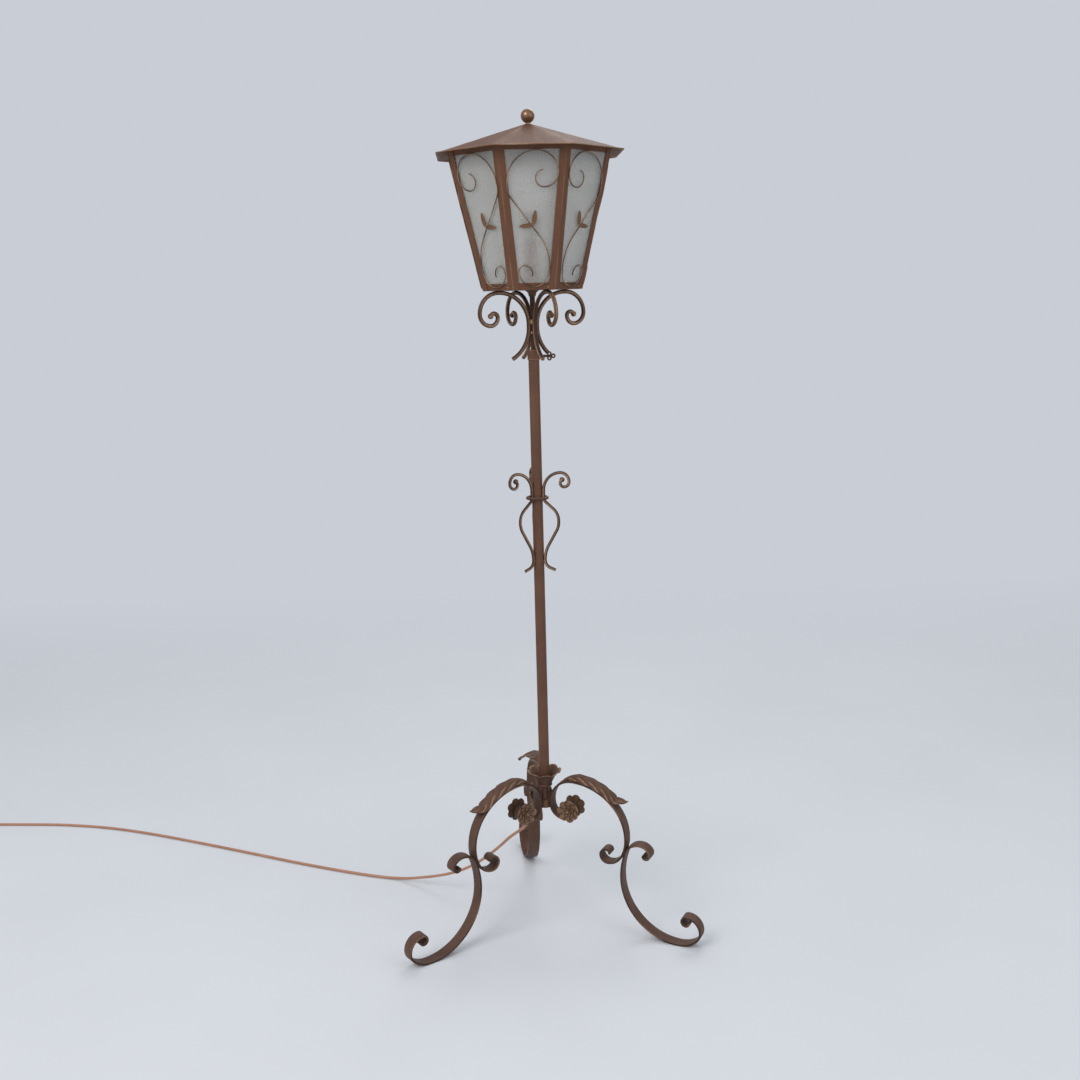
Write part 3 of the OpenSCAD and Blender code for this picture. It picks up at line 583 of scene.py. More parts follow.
class LampFinishes(bpy.types.PropertyGroup):
    """Colours of the finishes."""
    paint: colour("Paint", (99, 74, 62), "Brown paint of the forged pieces")
    pole: colour("Pole paint", (105, 73, 57), "Redder brown of the pole")
    sheet: colour("Sheet paint", (107, 74, 56), "Paint of the lantern's frame and roof")
    rod: colour("Rod paint", (80, 57, 46), "Darker paint of the round bars and wires")
    blade: colour("Leaf paint", (116, 85, 63), "Paint of the small leaves on the panes")
    gilt: colour("Gilt paint", (103, 76, 59), "Paint of the rosettes")
    # The shade colour is the dark of the paint's clouds, and the colour of painted shade on strap
    # edges, rod flanks, gaps between leaf lobes and petals, and the cup's floor
    shade: colour("Shade", (54, 39, 32), "Paint in hollows")
    # The rubbed gold is also the colour of painted highlights on rods, leaves, petals, posts, roof
    # and rims
    rub: colour("Rubbed gold", (178, 144, 115), "Where the paint is rubbed bright")
    glass: colour("Glass", (236, 235, 230), "Frosted glass")
    cord: colour("Cord", (176, 126, 98), "Sheath of the cord")
    floor: colour("Floor", (216, 219, 223), "Studio floor")
    backdrop: colour("Backdrop", (201, 205, 213), "Backdrop behind the lamp")


def in_millimetres(group):
    """A group's settings, with lengths in millimetres and angles in degrees."""
    units = {"LENGTH": lambda x: round(x / MM, 4), "ROTATION": math.degrees, "NONE": lambda x: x}
    kinds = group.bl_rna.properties
    return SimpleNamespace(**{name: units[kinds[name].unit](getattr(group, name))
                              for name in type(group).__annotations__})


class Form:
    """Places that several pieces share, worked out from the sizes as in the frame's source. Its
    bend lists are for route(), and are scaled to the leg's reach."""

    arch = [[0, 4], [47, -90], [118, -50], [100, -40], [75, -20]]
    sweep = [[150, 20], [125, 60], [114, 30]]
    rosette_curl = [[30, 90], [0, 4], [17, 90], [10, 90], [7, 140]]
    inner_curl = [[75, -10], [32, -60], [16, -90], [12, -90], [7, -115]]
    outer_curl = [[30, -70], [26, -50], [14, -40], [8, -90], [7, -90]]
    foot_curl = [[55, 40], [24, 50], [29, 90], [9, 180], [6.5, 100]]
    leaf_flick = [[13, 48], [0, 17], [15, 36]]
    foot_flat = 0.4  # pressed off the strap where it stands on the floor

    def __init__(self, s):
        self.s = s
        self.hub_side = s.hub_r + s.strap_t / 2 + GAP
        weld = s.strap_t + GAP
        # The scale brings the foot out to its reach, and hub_z puts it on the floor
        arch_end = route([0, 0, 90], self.arch)[-1]
        sweep_end = route([0, 0, arch_end[2]], self.sweep)[-1]
        tilt = rad(arch_end[2])
        reach = s.leg_reach - self.hub_side + weld * math.sin(tilt)
        k = reach / (arch_end[0] + sweep_end[0])
        self.hub_z = (s.strap_t / 2 - self.foot_flat - k * (arch_end[1] + sweep_end[1])
                      - weld * math.cos(tilt))
        start = [self.hub_side, self.hub_z, 90]
        crossing = route(start, sized(self.arch, k))[-1]
        self.weld_way = weld * math.sin(-tilt)
        self.upper = both_ways(start, sized(self.rosette_curl, k),
                               sized(self.arch + self.inner_curl, k))
        self.lower = both_ways(beside(crossing, weld), sized(self.outer_curl, k),
                               sized(self.sweep + self.foot_curl, k))
        # The pin of the rosettes goes through the middle of the upper scroll's last bend
        last_bend = route([self.hub_side, self.hub_z, -90], sized(self.rosette_curl[:-1], k))[-1]
        self.eye = beside(last_bend, self.rosette_curl[-1][0] * k)
        # The leaf lies on two bends of the arch, and its tip flicks up
        rise = s.strap_t / 2 + GAP
        straight, first, second = self.arch[0][1] * k, self.arch[1][0] * k, self.arch[2][0] * k
        leaf_start = route([self.hub_side, self.hub_z + straight, 90], [[first, -67]])[-1]
        on_arch = [[first + rise, -23], [second + rise, -43]]
        self.leaf = route(beside(leaf_start, rise), on_arch + self.leaf_flick, 2, 1.2)
        # A face of the lantern: half-widths at foot and head, way out, lean and slant height
        half = rad(EIGHTH / 2)
        self.lantern_z = corners("bottom_ring")[0][2]
        self.foot_in, head_in = s.foot_r * math.cos(half), s.head_r * math.cos(half)
        self.tilt = math.degrees(math.atan((head_in - self.foot_in) / s.body_h))
        self.slant = s.body_h / math.cos(rad(self.tilt))
        self.foot_half, self.head_half = s.foot_r * math.sin(half), s.head_r * math.sin(half)

    def drawn(self, i, line, below_weld=False):
        """A leg's line as leg i has it. The back leg's is drawn out sideways to its longer reach,
        and a line below the weld moves back, so that the weld keeps its thickness."""
        k = self.s.back_leg_long if i == BACK_LEG else 1
        x, y, h = np.moveaxis(np.asarray(line, float), -1, 0)
        return np.stack([self.hub_side + (x - self.hub_side) * k
                         - below_weld * (k - 1) * self.weld_way, y,
                         np.degrees(np.arctan2(np.sin(rad(h)), k * np.cos(rad(h))))], -1)

    def leg(self, i):
        """Angle of leg i about the pole."""
        return self.s.leg_turn + 120 * i + (self.s.back_leg_off if i == BACK_LEG else 0)

    def face(self, k, points):
        """Points from a face's own frame, x across, y up the slope and z out, to the lamp's."""
        c, s = math.cos(rad(self.tilt)), math.sin(rad(self.tilt))
        x, y, z = np.moveaxis(points, -1, 0)
        placed = np.stack([self.foot_in + y * s + z * c, x, self.lantern_z + y * c - z * s], -1)
        return turned(placed, self.s.lantern_turn + EIGHTH * k - 90)


# ---- operators -----------------------------------------------------------------------

class Maker(bpy.types.Operator):
    """Shared by the operators: gives make() the sizes and the shared places."""
    bl_options = {"REGISTER", "UNDO"}

    def execute(self, context):
        sizes = in_millimetres(context.scene.lamp_sizes)
        self.make(sizes, Form(sizes))
        return {"FINISHED"}


class LAMP_OT_stage(Maker):
    """Sets the camera, the pale floor with its backdrop, and soft light"""
    bl_idname = "lamp.stage"
    bl_label = "Stage"

    def make(self, s, form):
        scene = bpy.context.scene
        yaw, pitch, roll = rad(-0.072), rad(10.705), rad(-1.45)
        camera_at = (0, -2.46562, 1.27134)
        sensor_mm, focal_pixels, frame_pixels = 36, 1269.044, 1080
        right = np.array([math.cos(yaw), math.sin(yaw), 0])
        level = np.array([-math.sin(yaw), math.cos(yaw), 0])
        ahead = level * math.cos(pitch) - np.array([0, 0, math.sin(pitch)])
        up = level * math.sin(pitch) + np.array([0, 0, math.cos(pitch)])
        right, up = (right * math.cos(roll) + up * math.sin(roll),
                     up * math.cos(roll) - right * math.sin(roll))
        camera = bpy.data.objects.new("camera", bpy.data.cameras.new("camera"))
        camera.data.sensor_width = sensor_mm
        camera.data.lens = focal_pixels / frame_pixels * sensor_mm
        camera.data.clip_end = 60
        camera.matrix_world = Matrix([[right[i], up[i], -ahead[i], camera_at[i]]
                                      for i in range(3)] + [[0, 0, 0, 1]])
        scene.collection.objects.link(camera)
        scene.camera = camera
        scene.view_settings.view_transform = "Standard"

        # The floor runs back and bends up into the backdrop on a quarter circle, in metres
        wide, back, bend, columns = 9, 4.2, 2.2, 7
        a = np.linspace(0, 90, 24)
        y = np.concatenate([[-9, 0, 2], back + bend * np.sin(rad(a)), [back + bend]])
        z = np.concatenate([[0, 0, 0], bend - bend * np.cos(rad(a)), [9]])
        points = grid(np.linspace(-wide, wide, columns), y[:, None], z[:, None])
        i = np.arange(len(y) * columns).reshape(-1, columns)
        quads = np.stack([i[:-1, :-1], i[:-1, 1:], i[1:, 1:], i[1:, :-1]], -1).reshape(-1, 4)
        mesh = bpy.data.meshes.new("floor")
        mesh.from_pydata(points.reshape(-1, 3).tolist(), [], quads.tolist())
        mesh.shade_smooth()
        mesh.materials.append(finish_of("floor"))
        floor = bpy.data.objects.new("floor", mesh)
        scene.collection.objects.link(floor)

        world = bpy.data.worlds.new("studio")
        world.use_nodes = True
        background = world.node_tree.nodes["Background"]
        background.inputs["Color"].default_value = (0.92, 0.95, 1.0, 1)
        background.inputs["Strength"].default_value = 0.62
        scene.world = world
        lit = Vector((0, 0, 0.8))
        for name, at, size, watts, tint in (
                ("key light", (-2.3, -2.6, 3.4), 2.4, 85, (1, 0.98, 0.95)),
                ("fill light", (2.6, -2.2, 2.2), 2.6, 26, (0.95, 0.97, 1)),
                ("back light", (0.8, 2.6, 3.6), 2.2, 34, (1, 1, 1))):
            lamp = bpy.data.lights.new(name, "AREA")
            lamp.size = size
            lamp.energy = watts
            lamp.color = tint
            light = bpy.data.objects.new(name, lamp)
            aim = (lit - Vector(at)).to_track_quat("-Z", "Y").to_matrix().to_4x4()
            light.matrix_world = Matrix.Translation(at) @ aim
            scene.collection.objects.link(light)


class LAMP_OT_cord(Maker):
    """Runs the cord from the hub to the floor and out of view, coils it and ends it in the plug"""
    bl_idname = "lamp.cord"
    bl_label = "Cord"

    def make(self, s, form):
        r = s.cord_d / 2
        turn, dip = rad(s.leg_turn + 180), rad(50)
        way = np.array([math.cos(turn) * math.cos(dip), math.sin(turn) * math.cos(dip),
                        -math.sin(dip)])
        exit_at = np.array([s.hub_r * math.cos(turn), s.hub_r * math.sin(turn), form.hub_z - 3])
        coil_x, coil_y, coil_r = -1468, 605, 40
        run = np.vstack([exit_at + np.outer([2, 12, 22, 30], way), [
            [-35, 17, 216], [-39, 21, 203], [-47, 27, 190], [-59, 35, 178], [-76, 45, 162],
            [-97, 57, 138], [-122, 73, 111], [-150, 90, 85], [-182, 108, 62], [-215, 127, 44],
            [-245, 145, 31], [-275, 163, 20], [-303, 179, 11], [-330, 193, 5], [-360, 203, r],
            [-400, 216, r], [-470, 244, r], [-571, 289, r], [-700, 352, r], [-835, 417, r],
            [-975, 480, r], [-1090, 522, r], [-1210, 548, r], [-1320, 558, r], [-1400, 563, r],
            [coil_x + 22, coil_y - coil_r, r], [coil_x, coil_y - coil_r, r]]])
        # The coil spirals in, climbs a layer over half a turn and spirals out on it
        turns, middle, per_turn, between_turns, layer_up = 4, 2.25, 24, 7, 6.6
        t = np.arange(1, turns * per_turn + 1) / per_turn
        radius = coil_r - between_turns * np.where(t < middle, t, 2 * middle - t)
        climb = np.clip((t - 2) / 0.5, 0, 1)
        a = rad(-90 - 360 * t)
        coil = np.stack([coil_x + radius * np.cos(a), coil_y + radius * np.sin(a),
                         r + layer_up * climb**2 * (3 - 2 * climb)], 1)
        end = coil[-1]
        plug = np.array([end[0] - 60, end[1], 7])
        tail = np.array([end + [-10, 0, 0], end + [-28, 0, -0.4], plug + [16, 0, 0.3],
                         plug + [7, 0, 0], plug])
        fine = np.vstack([hermite(run, 6), hermite(np.vstack([run[-1:], coil, tail]), 3)[1:]])
        fine[:, 2] = np.maximum(fine[:, 2], r)
        steps = np.linalg.norm(np.diff(fine, axis=0), axis=1)
        far = np.concatenate([[0], np.cumsum(steps)])
        sides = 14
        shell = Shell(tube(fine, r, sides), around=circle(sides), run=far[:, None] * MM)
        piece = build("cord", [shell], "cord", "cord_run", "cord_coil")
        dress("plug_body", "plug")
        dress("plug_pins", "pins")
        dress("cord_grommet", "dark_plastic")


class LAMP_OT_legs(Maker):
    """Bends the two straps of each leg: a rounded flat section carried along the curls"""
    bl_idname = "lamp.legs"
    bl_label = "Leg straps"

    def strap(self, s, line, seed):
        """The section's half-width and half-thickness each vary by a few tenths along the strap,
        and its corners are rounded. The narrow faces carry painted shade, with a few rubbed gold
        spots."""
        side, left = rounded_box(s.strap_w, s.strap_t, 1.3, 5)
        t = travelled(line)[:, None]
        wide = 1 + lumpy(t, 0.012, seed)
        thick = 1 + lumpy(t, 0.05, seed + 2)
        end = np.minimum(1, np.minimum(t, t[-1] - t) / 2.2 + 0.35)
        points = carried(line, left * thick * end**0.5, side * wide * end**0.3)
        # Painted shade on the narrow faces, except at a few rubbed gold spots
        edge = np.clip((np.abs(side) / (s.strap_w / 2) - 0.93) / 0.06, 0, 1)
        wear_and_highlight = np.clip(np.sin(t / 37 + seed) - 0.55, 0, 1)
        return Shell(points, rub=0.9 * wear_and_highlight * edge, hollow=0.95 * edge * (1 - wear_and_highlight))

    def make(self, s, form):
        for i in range(3):
            for name, line, seed in (("upper", form.drawn(i, form.upper), i),
                                     ("lower", form.drawn(i, form.lower, True), i + 0.5)):
                shell = self.strap(s, line, seed)
                shell.points[..., 2] = np.maximum(shell.points[..., 2], 0)
                shell.points = turned(shell.points, form.leg(i))
                build(f"leg_{name}_{i + 1}", [shell], "bronze", f"{name}_scroll_{i + 1}", sharp=50)


class LAMP_OT_leaves(Maker):
    """Presses the acanthus leaves: lobes, slanting veins and a midrib on a crowned strip"""
    bl_idname = "lamp.leaves"
    bl_label = "Leaves"

    def make(self, s, form):
        """Lobes run from the midrib to the edge and lean towards the tip, so their beat falls
        behind away from the midrib. Within a lobe the height follows a crest near its lower side,
        its outline widens to a point, which lifts, and then steps back in to the next lobe."""
        # u runs along the leaf, v across it, and beat counts the lobes
        t = travelled(form.leaf)
        u = (t / t[-1])[:, None]
        v = np.linspace(-1, 1, 45)[None]
        away = np.abs(v)
        n = s.leaf_lobes
        beat = (n * u - 0.4 * away - 1.3 * away**2) % 1
        edge_beat = (n * u - 1.7) % 1
        # Outline
        widest = 0.86
        point = np.where(edge_beat < widest, np.sin(np.pi / 2 * edge_beat / widest) ** 1.3,
                         (1 - edge_beat) / 0.14)
        grow = 0.45 + 0.55 * np.sin(np.minimum(np.pi / 2, rad(210) * u))
        taper = 1 - 0.9 * np.clip((u - 0.66) / 0.34, 0, 1) ** 2.6
        half = s.leaf_half * grow * taper * (0.84 + 0.16 * point)
        # Height: the crown across, the relief of lobes and veins, and the lifted points
        flat_tip = 1 - 0.93 * np.clip((u - 0.76) / 0.24, 0, 1) ** 1.4
        crown = 12 * np.minimum(1, 4 * u + 0.12) * flat_tip
        outer = np.clip((away - 0.4) / 0.25, 0, 1)
        ridge = np.exp(-((beat - 0.6) / 0.15) ** 2)
        gap = np.exp(-((beat - 0.97) / 0.09) ** 2) + np.exp(-((beat + 0.03) / 0.09) ** 2)
        fade = np.clip(6 * u, 0.2, 1) * np.clip(7 * (1.02 - u), 0, 1)
        midrib = 0.7 * np.exp(-(v / 0.08) ** 2) - 0.4 * np.exp(-((away - 0.17) / 0.08) ** 2)
        relief = fade * ((1.5 * ridge - 1.5 * gap) * outer * (1 - 0.2 * away) + midrib
                         + 0.9 * (beat - 0.5) * (1 - outer))
        lift = (3.4 * point**2 * np.clip((away - 0.66) / 0.34, 0, 1) ** 1.5
                * np.clip(1.1 - u, 0.1, 1))
        rise = np.maximum(crown * (1 - away**2.2) + relief + lift * fade, 0)
        # Painted highlight along each lobe's crest near the edge, and painted shade in the gaps
        # between lobes
        bright = 0.8 * ridge**1.6 * np.clip((away - 0.55) / 0.15, 0, 1) * fade
        dark = 0.8 * gap * outer * fade
        thick = 1.2
        for i in range(3):
            line = form.drawn(i, form.leaf)
            # The back leaf's tip is bent to one side and up
            bend = np.clip(u - 0.4, 0, 1) / 0.6 * (i == BACK_LEG)
            side = half * (1 + 0.9 * bend) * v + 17.5 * bend**2
            points = np.concatenate([carried(line, rise + thick, side),
                                     carried(line, rise, side)[:, ::-1]], 1)
            points[..., 2] += 7.5 * np.sin(np.pi * bend) - 2.5 * bend
            shell = Shell(turned(points, form.leg(i)), hollow=np.hstack([dark, dark[:, ::-1]]),
                          rub=np.hstack([bright, 0.2 * bright[:, ::-1]]))
            build(f"leaf_{i + 1}", [shell], "bronze", f"acanthus_{i + 1}", sharp=60)


class LAMP_OT_rosettes(Maker):
    """Stacks the rosettes: a smooth back disc and three ruffled rings of petals round a button"""
    bl_idname = "lamp.rosettes"
    bl_label = "Rosettes"

    def ring_of_petals(self, radius, count, base, dish, ruffle, start, thick):
        """Radius: the disc's, drawn in between petals by a power of the half-angle sine. Height:
        the square of the way out times the dish, plus ripples that grow to the rim."""
        a = circle(126)[None]
        q = np.linspace(0.04, 1, 13)[:, None]
        petal = np.abs(np.sin(count * (a + start) / 2))
        r = q * radius * (0.80 + 0.20 * petal**0.55)
        z = (base + dish * q**2 + 0.5 * ruffle * q**3 * np.cos(3 * count * (a + start))
             + 1.6 * q**2 * (petal - 0.6))
        rim = np.clip((q - 0.86) / 0.14, 0, 1) ** 2
        top = grid(r * np.cos(a), r * np.sin(a), z + thick * (1 - 0.4 * rim))
        under = grid(r * np.cos(a), r * np.sin(a), z)
        # Painted highlight on the petal tips at the rim, and painted shade between the petals
        bright = np.clip(1.3 * q**8 * petal, 0, 1) * 0.6
        dark = np.clip(1 - petal * 1.6, 0, 1) * q
        return (np.concatenate([top, under[::-1]]), np.vstack([bright, 0.3 * bright[::-1]]),
                np.vstack([dark, dark[::-1]]))

    def make(self, s, form):
        r = s.rosette_d / 2
        n = s.petals
        layers = [self.ring_of_petals(*ring) for ring in (
            # radius, petals, height, dish, ruffle, turn, thickness
            (r, n, -0.1, 1.5, 0, 0, 1.3),
            (r * 0.80, n + 1, 1.6, 2.2, 0.9, 0.45, 0.9),
            (r * 0.58, n, 2.9, 2.4, 0.8, 0.1, 0.9),
            (r * 0.36, n - 1, 4.0, 2.6, 0.6, 0.3, 0.9))]
        a = np.linspace(0.05, np.pi / 2 + 0.7, 12)
        button = revolved(np.stack([3.9 * np.sin(a), 5.0 + 3.4 * np.cos(a)], 1), 28)
        shells = []
        for i in range(3):
            eye = form.drawn(i, form.eye)
            for side in (-1, 1):
                def placed(p):
                    """From a rosette's own frame, z outwards, to its side of the leg."""
                    x, y, z = np.moveaxis(p, -1, 0)
                    out = side * (s.rosette_span / 2 - 3 + z)
                    return turned(grid(eye[0] + x, out, eye[1] - side * y), form.leg(i))

                shells += [Shell(placed(p), rub=rub, hollow=dark) for p, rub, dark in layers]
                shells.append(Shell(placed(button), rub=0.35, hollow=0))
        build("petals", shells, "gilt_bronze", "rosettes", sharp=60)
        dress("rosette_pins", "bronze")


class LAMP_OT_hub(Maker):
    """Turns the hub block and neck, and opens the flower cup with its lobed, rolled rim"""
    bl_idname = "lamp.hub"
    bl_label = "Hub and cup"

    def cup(self, s, bore):
        """A turned wall with a bore through its floor, whose rim opens in petals."""
        foot = corners("leaf_cup")[0][2]
        floor = foot + 2
        t, r = hermite([[0, 0, 14.5], [0.12, 0, 16.2], [0.35, 0, 19.5], [0.58, 0, 23.4],
                        [0.8, 0, 28.2], [1, 0, 33]], 7)[:, [0, 2]].T[:, :, None]
        a = circle(192)[None]
        petal = np.abs(np.sin(4 * (a - rad(-105.5)))) ** 0.55

        def wall(inset):
            """Petals: the sine of four times the angle, without its sign, to a power below one, so
            that eight rounded lobes meet in narrow dips; they grow with the cube of the way up.
            Near the rim the wall rolls outwards and down. The profile is for a cup of 66."""
            roll = 1.2 * np.clip((t - 0.84) / 0.16, 0, 1) ** 2
            q = np.maximum(s.pole_d / 2 + 0.9,
                           r * s.cup_d / 66 - inset + t**3 * (3.4 * petal - 2.6) + roll)
            h = (foot + t * (s.cup_h + 6) - t**3 * (6 * (1 - petal) - 1.5 * np.sin(a)) - roll
                 + 0.3 * inset)
            return grid(q * np.cos(a), q * np.sin(a), h)

        outside, inside = wall(0), wall(1.5)[1:]
        inside[..., 2] = np.maximum(inside[..., 2], floor)
        points = np.concatenate([revolved([[bore, foot]], 192), outside, inside[::-1],
                                 revolved([[bore, floor]], 192)])
        rim = len(outside)
        # Painted highlight on the rolled rim's lobes, a faint gold inside, and painted shade on the
        # cup's floor
        rub, dark = np.zeros(points.shape[:2]), np.zeros(points.shape[:2])
        rub[rim - 2:rim + 4] = 0.55 * petal
        rub[rim + 4:] = 0.12
        dark[-12:] = 0.4
        build("cup", [Shell(points, loop=True, rub=rub, hollow=dark)], "bronze", "leaf_cup",
              sharp=70)

    def make(self, s, form):
        low, high = corners("hub_block")
        bore = s.tube_d / 2 + 0.05
        block = np.concatenate([
            [[bore, low[2]], [s.hub_r - 1.5, low[2]], [s.hub_r - 0.3, low[2] + 0.5],
             [s.hub_r, low[2] + 1.6]],
            arc(s.hub_r - 4, high[2] - 4, 4, 0, 90, 8), [[bore, high[2]]]])
        build("hub", [Shell(revolved(block), loop=True, rub=0)], "pole", "hub_block")
        low, high = corners("hub_neck")
        z = low[2]
        curve = hermite([[9.6, 0, z], [9, 0, z + 2.5], [7.9, 0, z + 6], [7.5, 0, z + 11],
                         [8.2, 0, z + 16], [9.8, 0, z + 21.5], [12, 0, z + 26],
                         [13.6, 0, z + 27.8]], 5)[:, [0, 2]]
        neck = np.concatenate([[[bore, z]], curve, arc(14, z + 30, 1.8, -80, 80, 9),
                               [[13.8, high[2]], [bore, high[2]]]])
        build("neck", [Shell(revolved(neck), loop=True, rub=0)], "pole", "hub_neck")
        self.cup(s, bore)
        for node in ("hub_tube", "pole_plug"):
            dress(node, "brass")


class LAMP_OT_pole(Maker):
    """Draws the pole's tube and its collar, and bends the turn key's three loops"""
    bl_idname = "lamp.pole"
    bl_label = "Pole"

    def key(self):
        """The key points along x: a shaft, and a head of three round loops about a bead."""
        low, high = corners("switch_key")
        loop_r, bar, loops_out = 3.1, 1.55, 5
        head, axis = high[0] - 9.5, (low[2] + high[2]) / 2
        x = np.array([low[0], low[0] + 0.3, head - 6, head - 1])
        shaft = revolved(np.stack([[2.2, 2.5, 2.5, 1.6], x], 1), 20)
        shells = [Shell(shaft[..., [2, 0, 1]] + [0, 0, axis])]
        loop = hoop(loop_r, bar, 32, 12)[..., [0, 2, 1]]
        for way in (0, 120, 240):
            at = [head + loops_out * math.cos(rad(way)), 0, axis + loops_out * math.sin(rad(way))]
            shells.append(Shell(loop + at, loop=True))
        shells.append(Shell(bead(2.4, 2.4, [head, 0, axis], sides=16)))
        build("key_piece", shells, "rod", "switch_key", body="key")

    def make(self, s, form):
        low, high = corners("pole")
        r, wall = s.pole_d / 2, 1.6
        z = np.linspace(low[2] + 0.5, high[2] - 0.5, 200)
        outside = np.stack([r + lumpy(z, 0.07, 1.3), z], 1)
        profile = np.concatenate([[[r - wall, low[2]], [r - 0.4, low[2]]], outside,
                                  [[r - 0.4, high[2]], [r - wall, high[2]]]])
        build("pole_tube", [Shell(revolved(profile, 48), loop=True, rub=0)], "pole", "pole")
        low, high = corners("collar")
        big, top = (high[0] - low[0]) / 2, 3
        bore = s.tube_d / 2 + 0.05
        profile = np.concatenate([
            [[r + GAP, low[2]], [big - 0.5, low[2]], [big, low[2] + 0.5],
             [big - 0.25, low[2] + 2.2], [big - 0.05, low[2] + 3],
             [big - 0.05, high[2] - 4], [big, high[2] - 3]],
            arc(big - 1.2, high[2] - 1.2, 1.2, 0, 90, 6),
            [[bore, high[2]], [bore, high[2] - top], [r + GAP, high[2] - top]]])
        lit = np.zeros((len(profile), 1))
        lit[1:4] = lit[7:11] = 0.2
        build("cap", [Shell(revolved(profile, 56), loop=True, rub=lit)], "pole", "collar")
        dress("switch_body", "dark_plastic")
        dress("collar_nut", "brass")
        self.key()


class LAMP_OT_ornament(Maker):
    """Bends the three scrolls of the pole's ornament and the ring that holds them"""
    bl_idname = "lamp.ornament"
    bl_label = "Pole ornament"

    def make(self, s, form):
        r, weld_z = s.mid_rod_d / 2, 764
        start = s.pole_d / 2 + r + GAP / 2
        up = [[0, 14.5], [36.5, -90], [17, -90], [11, -90], [7.5, -90], [5.5, -40]]
        down = [[10, 50], [0, 20.8], [30, -50], [0, 2.5], [35, -30], [0, 35], [60, 30], [16, 71],
                [0, 11]]
        line = both_ways([start, s.ring_z, 90], down, up)
        weld = bead(2.6, 3.6, [s.pole_d / 2 + 0.5, 0, weld_z])
        for i, turn in enumerate((-21.5, -141.5, 101)):
            bar = rod(line, r, i, r * 1.7)
            bar.points = turned(bar.points, turn)
            build(f"scroll_{i + 1}", [bar, Shell(turned(weld, turn), rub=0.25)], "rod",
                  f"mid_scroll_{i + 1}")
        sides = 16
        ring = hoop(s.pole_d / 2 + 3 * r + GAP, r, 96, sides) + [0, 0, s.ring_z]
        lit = 0.4 * np.clip(np.sin(circle(sides)), 0, 1) ** 2
        build("ring", [Shell(ring, loop=True, rub=lit)], "rod", "mid_ring")


class LAMP_OT_brackets(Maker):
    """Bends the four brackets under the lantern, with the brazed spots at their waist"""
    bl_idname = "lamp.brackets"
    bl_label = "Brackets"

    def make(self, s, form):
        r = s.bracket_rod_d / 2
        waist = corners("collar")[1][2] + s.waist_rise
        start = s.tube_d / 2 + r + GAP / 2
        up = [[0, 2], [60, -90], [0, 3], [39, -90], [22, -90], [15, -90], [8, -90], [6, -50]]
        for i in range(4):
            # The foot behind the key turns out less, and the spots at the front are larger, with a
            # brighter painted highlight on their braze
            behind_key, front = i == 1, i == 3
            down = [[0, 4], [66, 45 if behind_key else 60], [0, 3]]
            line = both_ways([start, waist, 90], down, up)
            turn = s.bracket_turn + 90 * i - (s.bracket_off if i == 0 else 0)
            bar = rod(line, r, i + 0.3, r * 1.35)
            bar.points = turned(bar.points, turn)
            shells = [bar]
            for height, size in ((waist + 7, 3.2 if front else 2.2), (waist - 14, 1.9)):
                spot = turned(bead(size, 1.5 * size, [start - 0.5, 0, height]), turn + 45)
                shells.append(Shell(spot, rub=0.9 if front else 0.3))
            build(f"support_{i + 1}", shells, "rod", f"bracket_{i + 1}")
        dress("stem", "rod")
        dress("stem_cup", "bronze")


